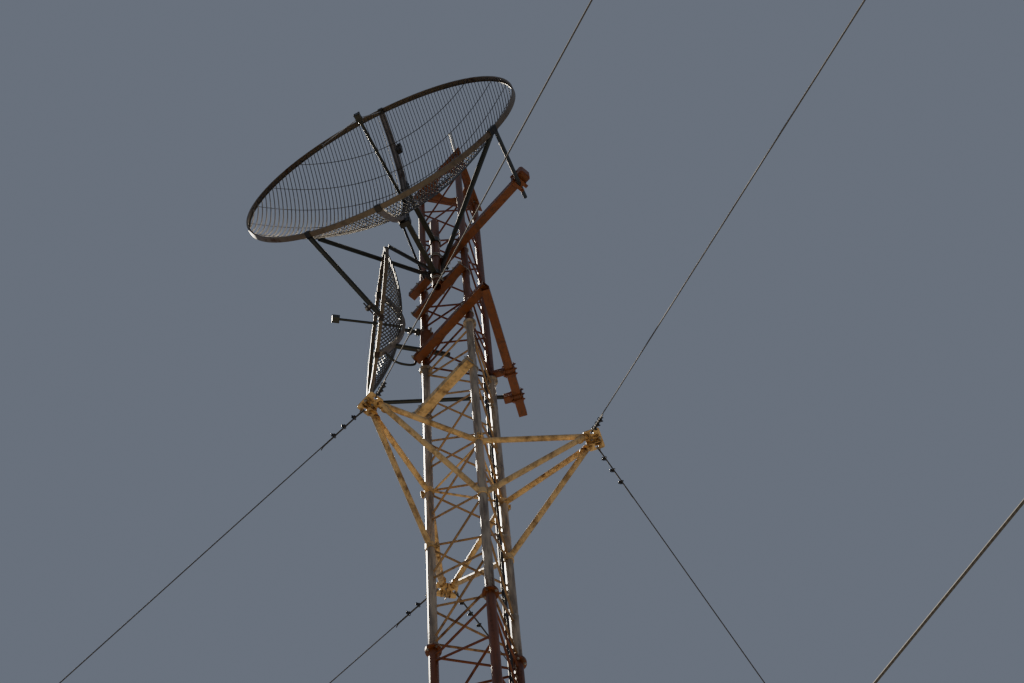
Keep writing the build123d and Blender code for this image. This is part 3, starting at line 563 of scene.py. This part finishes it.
# Struts, arms and pipes that hold the dishes, and their feeds: round steel tubes and welded boxes, bolted
# or clamped at their ends, in dark olive paint.
olive_steel = painted_steel("olive_painted_tube", "#20231c", "#34362b", "#3a2a1c", "#171814", 0.25, 0.3, 2.0)
finish(olive_steel, "dish_arms", "dish_struts", "dish_side_strut", "small_dish_pipes", "small_dish_struts",
       "small_dish_feed", "dish_feed")

# Pipe clamps of the small dish: each of its two pipes is held to the left leg by a steel plate with two
# U-bolts round the leg, in the orange of the mast.
left_leg = leg_at(legs["left"], joints[4])
upper_pipe_level = 0.933
upper_pipe_radius = 0.0212
lower_pipe_level = 0.395
lower_pipe_radius = 0.03015
clamp_plate_thickness = 0.008
plate_bolt = 0.012
plate_pieces = []
for level, height, pipe, width in ((upper_pipe_level, 0.13, upper_pipe_radius, 0.13),
                                   (0.62, 0.58, lower_pipe_radius, 0.16)):
    face = left_leg.y - leg_radius - 2 * pipe - clamp_plate_thickness / 2
    plate_pieces.append(block((width, clamp_plate_thickness, height),
                              (left_leg.x, face, left_leg.z + level), 0.003))
pipe_plates = join(plate_pieces, "small_pipe_plates")
dress(pipe_plates, dark_orange)
places = []
for level in (upper_pipe_level, lower_pipe_level):
    for drop in (-0.055, 0.055):
        places.append(turned(left_leg + Vector((0, 0, level + drop)), (0, 0, 1), (0, 1, 0)))
plate_reach = leg_radius + 2 * 0.03 + clamp_plate_thickness + 0.02
plate_u_bolts = repeat(u_bolt(plate_bolt, leg_radius + 0.007, plate_reach), places, "small_pipe_u_bolts")
dress(plate_u_bolts, bolt_zinc)

# Base plate, guys and their fittings: welded plates, rods and turnbuckles of zinc-coated steel, and wire
# rope. The lightning rod is a bright drawn bar, paler than the rest.
finish(zinc("plate_zinc", "#85847f", "#6f5138", 0.0), "base_plate", "anchor_rods", "turnbuckles",
       "lower_guy_lugs")
finish(zinc("rod_zinc", "#d6d2ca", "#9c9486", 0.0, 0.25, 0.45), "lightning_rod")


def wire_rope(name):
    # Galvanised wire rope: grey strands laid at a slant, 11 mm across, darker in the grooves between them.
    # The whole grey is darkened with painted shade.
    material, tree, shader = new_material(name)
    place = add_node(tree, "ShaderNodeTexCoord").outputs["Object"]
    lay = add_node(tree, "ShaderNodeTexWave", {"Vector": place, "Scale": 18.0, "Distortion": 0.5},
                   bands_direction="Z")
    colour = add_node(tree, "ShaderNodeMix", {0: lay.outputs["Fac"], 6: srgb("#4a4743"), 7: srgb("#605d57")},
                      data_type="RGBA")
    tree.links.new(colour.outputs[2], shader.inputs["Base Color"])
    shader.inputs["Metallic"].default_value = 0.15
    shader.inputs["Roughness"].default_value = 0.85
    bump = add_node(tree, "ShaderNodeBump",
                    {"Strength": 0.05, "Distance": 0.001, "Height": lay.outputs["Fac"]})
    tree.links.new(bump.outputs[0], shader.inputs["Normal"])
    return material


rope_steel = wire_rope("guy_wire_rope")
finish(rope_steel, "lower_guys", "upper_guys")

# Upper ends of the guys: the rope turns round a thimble and comes back beside itself, held by three
# wire rope clips 160 mm apart, with its tail standing off. The clips are forged steel, painted black.
rope_radius = 0.0055
thimble_radius = 0.024
wire_radius = 0.005
eye_radius = 0.017
eye_side = 0.084
plate_half = 0.006
lug_reach = leg_radius + 0.096 - 0.034
lug_height = joints[2] - 0.12
anchor_distance = 19.19
anchor_height = 0.42
inner_loop = thimble_radius - wire_radius


def swept(cross_section, path):
    select_only(cross_section)
    bpy.ops.object.transform_apply(location=True, rotation=True, scale=True)
    cross_section.data.transform(Matrix.Translation(path[0]))
    bpy.ops.object.mode_set(mode="EDIT")
    bpy.ops.mesh.select_all(action="SELECT")
    for here, there in zip(path, path[1:]):
        bpy.ops.mesh.extrude_region_move(TRANSFORM_OT_translate={"value": there - here})
    bpy.ops.mesh.select_all(action="SELECT")
    bpy.ops.mesh.normals_make_consistent(inside=False)
    bpy.ops.object.mode_set(mode="OBJECT")
    return cross_section


guy_ends = []
guy_sets = []
for azimuth in legs.values():
    outward = Vector((cos(azimuth), sin(azimuth), 0))
    sideways = Vector((-outward.y, outward.x, 0))
    anchor = outward * anchor_distance + Vector((0, 0, anchor_height))
    eye = leg_at(azimuth, lug_height) + outward * lug_reach
    line = (anchor - eye).normalized()
    loop = eye + line * (eye_radius + sqrt(inner_loop**2 - plate_half**2))
    guy_ends.append(turned(loop, anchor - loop, sideways.cross(line)))
    eyes = [eye]
    for turn, pair in tip_azimuths.items():
        across = Vector((-sin(turn), cos(turn), 0))
        for hand in (-1, 1):
            side = across * hand * leg_circle
            near_leg = min(pair, key=lambda leg: (leg_at(legs[leg]) - side).length)
            if legs[near_leg] == azimuth:
                tip = Vector((cos(turn) * arm_reach, sin(turn) * arm_reach, arm_upper))
                eye = tip + across * hand * eye_side
                line = (anchor - eye).normalized()
                level = Vector((line.x, line.y, 0)).normalized()
                loop = eye + level * eye_radius + Vector((0, 0, plate_half)) + line * inner_loop
                guy_ends.append(turned(loop, anchor - loop, line.cross((0, 0, 1))))
                eyes.append(eye)
    guy_sets.append((anchor, sideways, eyes))

bpy.ops.mesh.primitive_circle_add(vertices=8, radius=rope_radius, fill_type="NGON")
tail_path = [(0, 0.024, 0), (0, 0.022, 0.03), (0, 0.0145, 0.075), (0, 0.0115, 0.11), (0, 0.0115, 0.6),
             (0, 0.016, 0.64), (0.004, 0.027, 0.68)]
rope_tail = swept(bpy.context.object, [Vector(point) for point in tail_path])
thimble = u_bolt(0.009, 0.0185, 0.012)
thimble.data.transform(Matrix.Rotation(-pi / 2, 4, "Y"))
rope_middle = 0.006
clip_pieces = []
for spot in (0.13, 0.29, 0.45):
    saddle = block((0.018, 0.048, 0.032), (-0.015, rope_middle, spot), 0.003)
    hoop = u_bolt(0.009, 0.0175, 0.038)
    hoop.data.transform(Matrix.Translation((0, rope_middle, spot)))
    clip_pieces += [saddle, hoop]
tails = repeat(rope_tail, guy_ends, "guy_rope_tails")
dress(tails, rope_steel)
clips = repeat(join(clip_pieces, "clips"), guy_ends, "guy_rope_clips")
dress(clips, black_steel)
thimbles = repeat(thimble, guy_ends, "guy_thimbles")
dress(thimbles, bolt_zinc)


# Anchor blocks: rough concrete cast round the foot of each anchor rod, with a sandy face and damp stains.
# One stands where the three guys of each side come down.


def cast_concrete(name):
    # Rough cast concrete: a warm grey with sand grain of 3 mm and soft damp stains
    material, tree, shader = new_material(name)
    place = add_node(tree, "ShaderNodeTexCoord").outputs["Object"]
    stain = add_node(tree, "ShaderNodeTexNoise", {"Vector": place, "Scale": 3.0, "Detail": 6.0})
    grain = add_node(tree, "ShaderNodeTexNoise", {"Vector": place, "Scale": 330.0, "Detail": 3.0})
    colour = add_node(tree, "ShaderNodeMix",
                      {0: stain.outputs["Fac"], 6: srgb("#7d7972"), 7: srgb("#a7a298")}, data_type="RGBA")
    tree.links.new(colour.outputs[2], shader.inputs["Base Color"])
    shader.inputs["Roughness"].default_value = 0.92
    bump = add_node(tree, "ShaderNodeBump",
                    {"Strength": 0.5, "Distance": 0.002, "Height": grain.outputs["Fac"]})
    tree.links.new(bump.outputs[0], shader.inputs["Normal"])
    return material


finish(cast_concrete("anchor_concrete"), "anchor_blocks")

# Lower ends of the guys: a pressed sleeve holds the rope to the screw of its turnbuckle, and a locking
# nut sits on the screw on both sides of the body. Zinc-coated.
sleeve = cylinder((0, 0, -0.02), (0, 0, 0.12), 0.0135, 14)
taper = cylinder((0, 0, 0.12), (0, 0, 0.145), 0.0105, 14)
lower_sleeve = join([bevel_edges(sleeve, 0.002), bevel_edges(taper, 0.002)], "sleeve")
near_nut = hex_nut((0, 0, -0.062), (0, 0, -0.049), 0.018)
far_nut = hex_nut((0, 0, -0.396), (0, 0, -0.383), 0.018)
sleeve_set = join([lower_sleeve, near_nut, far_nut], "sleeve_set")
fan_spacing = 0.09
fan_hole_out = 0.025
screw_reach = 0.5661
places = []
for anchor, sideways, eyes in guy_sets:
    mean = (eyes[0] + eyes[1] + eyes[2]) / 3 - anchor
    pull = (mean - sideways * mean.dot(sideways)).normalized()
    fan_up = pull.cross(sideways)
    fan_up = fan_up if fan_up.z > 0 else -fan_up
    for step, eye in zip((-1, 0, 1), eyes):
        hole = anchor + pull * fan_hole_out + fan_up * step * fan_spacing
        line = (eye - hole).normalized()
        places.append(turned(hole + line * screw_reach, line, (0, 0, 1)))
rope_sleeves = repeat(sleeve_set, places, "guy_rope_sleeves")
dress(rope_sleeves, bolt_zinc)

# Feeder cables: black polyethylene jackets over corrugated copper, a thick one and a thinner one beside
# it, with a clip to the leg every metre and a half. The clips are galvanised bands with a stand-off block.


def cable_jacket(name):
    # Black polyethylene: nearly black with a waxy sheen and grey dust
    material, tree, shader = new_material(name)
    place = add_node(tree, "ShaderNodeTexCoord").outputs["Object"]
    dust = add_node(tree, "ShaderNodeTexNoise", {"Vector": place, "Scale": 9.0, "Detail": 4.0})
    colour = add_node(tree, "ShaderNodeMix", {0: dust.outputs["Fac"], 6: srgb("#121214"), 7: srgb("#28282a")},
                      data_type="RGBA")
    tree.links.new(colour.outputs[2], shader.inputs["Base Color"])
    shader.inputs["Roughness"].default_value = 0.45
    return material


black_jacket = cable_jacket("black_polyethylene")
finish(black_jacket, "feeder_cable", "dish_cable")
flange_radius = 0.076
cable_radius = 0.014
cable_inset = flange_radius + cable_radius + 0.0003
cable_spacing = 0.033
second_radius = 0.011
second_foot = 0.42
second_length = 23.7
beside = Vector((-sin(legs["right"]), cos(legs["right"]), 0)) * cable_spacing
second_start = leg_at(legs["right"], second_foot) + beside
second_start -= leg_at(legs["right"]).normalized() * cable_inset
second_end = second_start + Vector((0, 0, second_length))
second_cable = bevel_edges(cylinder(second_start, second_end, second_radius, 16), 0.002)
dress(join([second_cable], "second_feeder_cable"), black_jacket)
leg_band = bevel_edges(cylinder((0, 0, -0.012), (0, 0, 0.012), leg_radius + 0.0025, 32), 0.0015)
clip_pieces = [leg_band]
for side, radius in ((0, cable_radius + 0.003), (cable_spacing, second_radius + 0.0035)):
    band = cylinder((-cable_inset, side, -0.015), (-cable_inset, side, 0.015), radius, 20)
    clip_pieces.append(bevel_edges(band, 0.0015))
clip_pieces.append(block((0.036, 0.02, 0.02), (-0.06, 0, 0), 0.002))
first_clip = 0.8
clip_pitch = 1.5
clip_count = 16
places = [turned(leg_at(legs["right"], first_clip + clip_pitch * step), (0, 0, 1), leg_at(legs["right"]))
          for step in range(clip_count)]
cable_clips = repeat(join(clip_pieces, "clip"), places, "feeder_cable_clips")
dress(cable_clips, bolt_zinc)

# Foot of the lightning rod: a short steel socket welded to the top plate in the line of the rod, with
# two locking screws, all in the orange paint of the plate.
rod_lean = radians(7)
rod_azimuth = radians(-149)
rod_foot = leg_at(legs["near"], joints[5] + top_plate_thickness)
rod_level = Vector((cos(rod_azimuth), sin(rod_azimuth), 0)) * sin(rod_lean)
rod_run = rod_level + Vector((0, 0, cos(rod_lean)))
socket = bevel_edges(cylinder((0, 0, 0.006), (0, 0, 0.12), 0.0265, 24), 0.003)
screws = []
for level in (0.05, 0.09):
    screws.append(hex_nut((0.024, 0, level), (0.036, 0, level), 0.01))
rod_socket = join([socket] + screws, "lightning_rod_socket")
rod_socket.data.transform(turned(rod_foot, rod_run, (0, -1, 0)))
dress(rod_socket, dark_orange)

# Large grid dish: upright ribs of flat aluminium bar on a few cross wires, inside a rolled channel rim.
# Every rib has the same parabola and stands further forward the further it is from the middle.
rib_pitch = 0.044
# The dark brown tone of this aluminium is partly weathering and partly painted shade.
weathered_and_shaded_aluminium = zinc("weathered_and_shaded_aluminium", "#56514b", "#40382f", 0.08, 0.65, 0.36)
bronze_steel = painted_steel("bronze_painted_rim", "#5b4e3d", "#75654f", "#4e3422", "#3c342a", 0.3, 0.35, 2.5)


curve_steps = 32


def trimmed(piece, cuts):
    select_only(piece)
    bpy.ops.object.mode_set(mode="EDIT")
    for spot, outward in cuts:
        bpy.ops.mesh.select_all(action="SELECT")
        bpy.ops.mesh.bisect(plane_co=spot, plane_no=outward, use_fill=True, clear_outer=True)
    bpy.ops.object.mode_set(mode="OBJECT")
    return piece


def dish_ribs(radius, focus, pitch, width, depth, name):
    bpy.ops.mesh.primitive_plane_add(size=1)
    section = bpy.context.object
    section.scale = (depth, width, 1)
    levels = [radius * (2 * step / curve_steps - 1) for step in range(curve_steps + 1)]
    path = [Vector((level**2 / (4 * focus) - depth / 2, 0, level)) for level in levels]
    master = swept(section, path)
    ribs = []
    count = int((radius - 0.02) / pitch + 0.5)
    for step in range(-count, count):
        offset = (step + 0.5) * pitch
        half = sqrt(radius**2 - (abs(offset) + width / 2) ** 2)
        rib = bpy.data.objects.new("rib", master.data.copy())
        bpy.context.scene.collection.objects.link(rib)
        rib.data.transform(Matrix.Translation((offset**2 / (4 * focus), offset, 0)))
        ribs.append(trimmed(rib, [((0, 0, half), (0, 0, 1)), ((0, 0, -half), (0, 0, -1))]))
    bpy.data.objects.remove(master)
    return join(ribs, name)


def dish_wires(radius, focus, levels, wire, back, name):
    wires = []
    for level in levels:
        half = sqrt(radius**2 - level**2)
        bpy.ops.mesh.primitive_circle_add(vertices=8, radius=wire / 2, fill_type="NGON",
                                          rotation=(pi / 2, 0, 0))
        spans = [half * (2 * step / curve_steps - 1) for step in range(curve_steps + 1)]
        path = [Vector(((level**2 + across**2) / (4 * focus) - back, across, level)) for across in spans]
        wires.append(swept(bpy.context.object, path))
    return join(wires, name)


def channel_rim(radius, width, thickness, wall, front, name):
    # A rolled channel open to the middle of the dish: its web, the two flanges drawn inward, then the wall
    clear_selection()
    bpy.ops.mesh.primitive_cylinder_add(vertices=120, radius=radius, depth=width, end_fill_type="NOTHING",
                                        location=(front - width / 2, 0, 0), rotation=(0, pi / 2, 0))
    rim = bpy.context.object
    rim.name = name
    bpy.ops.object.transform_apply(location=True, rotation=True, scale=True)
    bpy.ops.object.mode_set(mode="EDIT")
    bpy.ops.mesh.select_mode(type="EDGE")
    bpy.ops.mesh.select_all(action="DESELECT")
    bpy.ops.mesh.select_non_manifold()
    bpy.ops.mesh.extrude_edges_move()
    share = (radius - thickness) / radius
    bpy.ops.transform.resize(value=(1, share, share), center_override=(0, 0, 0))
    bpy.ops.mesh.select_all(action="SELECT")
    bpy.ops.mesh.normals_make_consistent(inside=False)
    bpy.ops.object.mode_set(mode="OBJECT")
    sheet = rim.modifiers.new("sheet", "SOLIDIFY")
    sheet.thickness = wall
    sheet.offset = -1
    sheet.use_even_offset = True
    bpy.ops.object.modifier_apply(modifier="sheet")
    return rim


dish_radius = 1.845
dish_depth = 0.692
rim_width = 0.066
rim_thickness = 0.022
rim_lip = 0.01
rib_depth = 0.016
dish_turn = radians(-127.5)
dish_forward = Vector((cos(dish_turn), sin(dish_turn), 0))
low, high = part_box("dish_rim")
dish_vertex = (low + high) / 2 - dish_forward * (dish_depth + rim_lip - rim_width / 2)
dish_place = Matrix.Translation(dish_vertex) @ Matrix.Rotation(dish_turn, 4, "Z")
mesh_radius = dish_radius - rim_thickness
dish_focus = mesh_radius**2 / (4 * dish_depth)
ribs = dish_ribs(mesh_radius, dish_focus, rib_pitch, 0.006, rib_depth, "dish_ribs")
wires = dish_wires(mesh_radius, dish_focus, (-1.31, -0.64, -0.13, 0.425, 0.885, 1.33), 0.009, rib_depth,
                   "dish_wires")
dish_grid = join([ribs, wires], "dish_grid")
dish_grid.data.transform(dish_place)
dress(dish_grid, weathered_and_shaded_aluminium)
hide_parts("dish_grid_left", "dish_grid_right")
big_rim = channel_rim(dish_radius, rim_width, rim_thickness, 0.004, dish_depth + rim_lip, "dish_channel_rim")
big_rim.data.transform(dish_place)
dress(big_rim, bronze_steel)
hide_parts("dish_rim")
spine_steel = painted_steel("grey_brown_painted_spine", "#6f645b", "#8a7f73", "#523b2c", "#4c433b", 0.3, 0.42,
                            9.0)
finish(spine_steel, "dish_spine", "small_dish_spine")

# Rim clamps of the large dish: a black cast block grips the channel where a strut or the spine meets
# it, with two bolts through it.
rim_middle = dish_depth + rim_lip - rim_width / 2


def rim_clamp(width, depth, length):
    # Grips the rim along its tangent Z, with the dish's axis along X and the bolts outward along -Y
    body = block((width + 0.018, depth + 0.03, length), (0, 0, 0), 0.006)
    pieces = [body]
    for level in (-length / 4, length / 4):
        pieces.append(hex_nut((0, -depth / 2 - 0.027, level), (0, -depth / 2 - 0.013, level), 0.014))
        pieces.append(cylinder((0, -depth / 2 - 0.036, level), (0, -depth / 2, level), 0.006, 10))
    return join(pieces, "rim_clamp")


def on_rim(turn, radius, front):
    # A place on the rim at this angle from the level, with its tangent as Z
    angle = radians(turn)
    spot = Vector((front, cos(angle) * radius, sin(angle) * radius))
    return turned(spot, (0, -sin(angle), cos(angle)), (1, 0, 0))


clamp_angles = (-36.4, -34.2, -120, 90, -90)
places = [dish_place @ on_rim(turn, dish_radius - rim_thickness / 2, rim_middle) for turn in clamp_angles]
big_clamps = repeat(rim_clamp(rim_width, rim_thickness, 0.075), places, "dish_rim_clamps")
dress(big_clamps, black_steel)

# Brackets on the spine of the large dish: a folded saddle over the spine at each arm, a black clamp
# higher on its side, and two thin stays from the rim that steady the feed.
spine_width = 0.08
spine_depth = 0.05
spine_back = rib_depth + 0.006 + 0.002
arm_level = 0.56
upper_level = 1.25
lower_level = 0.86
saddle_bolt = 0.014


def spine_front(level):
    # Where the front face of the spine stands at this height along the axis of the dish
    return level**2 / (4 * dish_focus) - spine_back


saddle_pieces = []
for level in (-arm_level, arm_level):
    depth = spine_front(level) - spine_depth / 2
    for hand in (-1, 1):
        cheek = block((0.09, 0.008, 0.19), (depth - 0.03, hand * (spine_width / 2 + 0.0045), level), 0.003)
        saddle_pieces.append(cheek)
        for drop in (-0.06, 0.06):
            face = hand * (spine_width / 2 + 0.0085)
            ends = sorted((face, face + hand * 0.011))
            saddle_pieces.append(hex_nut((depth - 0.02, ends[0], level + drop),
                                         (depth - 0.02, ends[1], level + drop), saddle_bolt))
depth = spine_front(upper_level) - 0.02
saddle_pieces.append(block((0.07, 0.06, 0.24), (depth, spine_width / 2 + 0.03, upper_level), 0.008))
saddle_pieces.append(block((0.095, 0.04, 0.06), (depth, spine_width / 2 + 0.04, upper_level + 0.04), 0.006))
depth = spine_front(lower_level) - spine_depth - 0.035
saddle_pieces.append(block((0.07, 0.14, 0.13), (depth, 0.03, -lower_level), 0.01))
spine_saddles = join(saddle_pieces, "dish_spine_brackets")
spine_saddles.data.transform(dish_place)
dress(spine_saddles, black_steel)

feed_reach = 0.03
stay_radius = 1.83
feed_spot = Vector((dish_focus + feed_reach, 0, 0))
stays = []
for turn, side in ((118, -0.03), (90, 0.02)):
    foot = Vector((rim_middle, cos(radians(turn)) * stay_radius, sin(radians(turn)) * stay_radius))
    stays.append(cylinder(feed_spot + Vector((-0.02, side, 0.03)), foot, 0.006, 8))
    stays.append(cylinder(foot - Vector((0.02, 0, 0)), foot + Vector((0.02, 0, 0)), 0.016, 12))
feed_stays = join(stays, "dish_feed_stays")
feed_stays.data.transform(dish_place)
dress(feed_stays, bolt_zinc)

# Feed of the large dish: a cast cover over the box at the end of the boom, with a seam, two bolts
# and a cable gland, in dark olive paint.
cover = block((0.012, 0.084, 0.084), (feed_spot.x + 0.049, 0, 0), 0.004)
band = block((0.016, 0.082, 0.082), (feed_spot.x - 0.02, 0, 0), 0.003)
gland = bevel_edges(cylinder((dish_focus - 0.045, 0, 0), (dish_focus - 0.01, 0, 0), 0.028, 20), 0.004)
feed_pieces = [cover, band, gland]
for hand in (-1, 1):
    feed_pieces.append(hex_nut((dish_focus + 0.083, hand * 0.028, hand * 0.028),
                               (dish_focus + 0.09, hand * 0.028, hand * 0.028), 0.009))
feed_cover = join(feed_pieces, "dish_feed_cover")
feed_cover.data.transform(dish_place)
dress(feed_cover, olive_steel)

# Small grid dish: the same kind of aluminium grid at half the size, edge-on in the picture, with ribs of
# thicker bar and a channel rim in the same bronze paint.
small_radius = 0.915
small_depth = 0.29
small_rim_width = 0.045
small_rim_thickness = 0.016
small_turn = radians(177)
small_forward = Vector((cos(small_turn), sin(small_turn), 0))
low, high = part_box("small_dish_rim")
small_vertex = (low + high) / 2 - small_forward * (small_depth + rim_lip - small_rim_width / 2)
small_place = Matrix.Translation(small_vertex) @ Matrix.Rotation(small_turn, 4, "Z")
small_mesh = small_radius - small_rim_thickness
small_focus = small_mesh**2 / (4 * small_depth)
ribs = dish_ribs(small_mesh, small_focus, rib_pitch, 0.009, 0.012, "small_ribs")
wires = dish_wires(small_mesh, small_focus, (-0.62, -0.21, 0.21, 0.62), 0.006, 0.012, "small_wires")
small_grid = join([ribs, wires], "small_dish_mesh")
small_grid.data.transform(small_place)
dress(small_grid, weathered_and_shaded_aluminium)
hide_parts("small_dish_grid")
small_rim = channel_rim(small_radius, small_rim_width, small_rim_thickness, 0.003, small_depth + rim_lip,
                        "small_channel_rim")
small_rim.data.transform(small_place)
dress(small_rim, bronze_steel)
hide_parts("small_dish_rim")

# Rim clamps of the small dish, the same black cast blocks, and the bent conduit of steel pipe that takes
# its cable to the lower side tube.
small_middle = small_depth + rim_lip - small_rim_width / 2
places = [small_place @ on_rim(turn, small_radius - small_rim_thickness / 2, small_middle)
          for turn in (22, 90, -90, -62, -155)]
small_clamps = repeat(rim_clamp(small_rim_width, small_rim_thickness, 0.07), places, "small_rim_clamps")
dress(small_clamps, black_steel)
conduit_path = [(-0.885, 0.135, 24.15), (-0.83, 0.17, 24.125), (-0.76, 0.21, 24.115), (-0.68, 0.225, 24.11),
                (-0.60, 0.226, 24.115), (-0.56, 0.227, 24.13), (-0.53, 0.228, 24.155), (-0.513, 0.229, 24.19),
                (-0.506, 0.23, 24.255)]
line = bpy.data.curves.new("conduit", "CURVE")
line.dimensions = "3D"
spline = line.splines.new("NURBS")
spline.points.add(len(conduit_path) - 1)
for point, spot in zip(spline.points, conduit_path):
    point.co = (*spot, 1)
spline.order_u = 3
spline.use_endpoint_u = True
line.bevel_depth = 0.014
line.bevel_resolution = 4
line.use_fill_caps = True
conduit = bpy.data.objects.new("small_dish_conduit", line)
bpy.context.scene.collection.objects.link(conduit)
select_only(conduit)
bpy.ops.object.convert(target="MESH")
dress(bpy.context.object, olive_steel)

# Small clamps of the small dish: two cast blocks on its upper pipe, and a thin rod held beside the tie
# between the two dishes by small plates with two bright bolts.
pipe_line = left_leg.y - leg_radius - upper_pipe_radius
pipe_height = left_leg.z + upper_pipe_level
clamp_pieces = []
for spot in (-0.58, -0.49):
    clamp_pieces.append(block((0.055, 0.078, 0.07), (spot, pipe_line, pipe_height), 0.012))
    for side in (pipe_line - 0.026, pipe_line + 0.026):
        clamp_pieces.append(hex_nut((spot, side, pipe_height - 0.048),
                                    (spot, side, pipe_height - 0.033), 0.012))
tie_start = dish_place @ on_rim(-120, 1.851, dish_depth).translation
tie_end = small_place @ on_rim(-62, 0.907, 0.26).translation
tie_run = tie_end - tie_start
tie_clamp_at = tie_start + tie_run * 0.85
tie_side = Vector((0, 0.4, 0.9)).cross(tie_run).normalized()
rod_ends = [tie_start + tie_run * share + tie_side * 0.05 for share in (0.79, 0.97)]
clamp_pieces.append(bevel_edges(cylinder(*rod_ends, 0.009, 12), 0.002))
rod_plate = join([block((0.05, 0.012, 0.1), (0, 0.037, 0.028), 0.003),
                  block((0.05, 0.012, 0.1), (0, -0.037, 0.028), 0.003),
                  block((0.04, 0.07, 0.034), (0, 0, 0.05), 0.006)], "rod_plate")
rod_plate.data.transform(turned(tie_clamp_at, tie_side, tie_run))
small_blocks = join(clamp_pieces + [rod_plate], "small_pipe_clamps")
dress(small_blocks, black_steel)
places = [turned(tie_clamp_at + tie_side * out, tie_side.cross(tie_run), tie_run)
          @ Matrix.Translation((0, 0, -0.043)) for out in (0.028, 0.072)]
rod_bolts = repeat(hex_bolt(0.012, 0.086), places, "tie_rod_bolts")
dress(rod_bolts, bolt_zinc)

clear_selection()
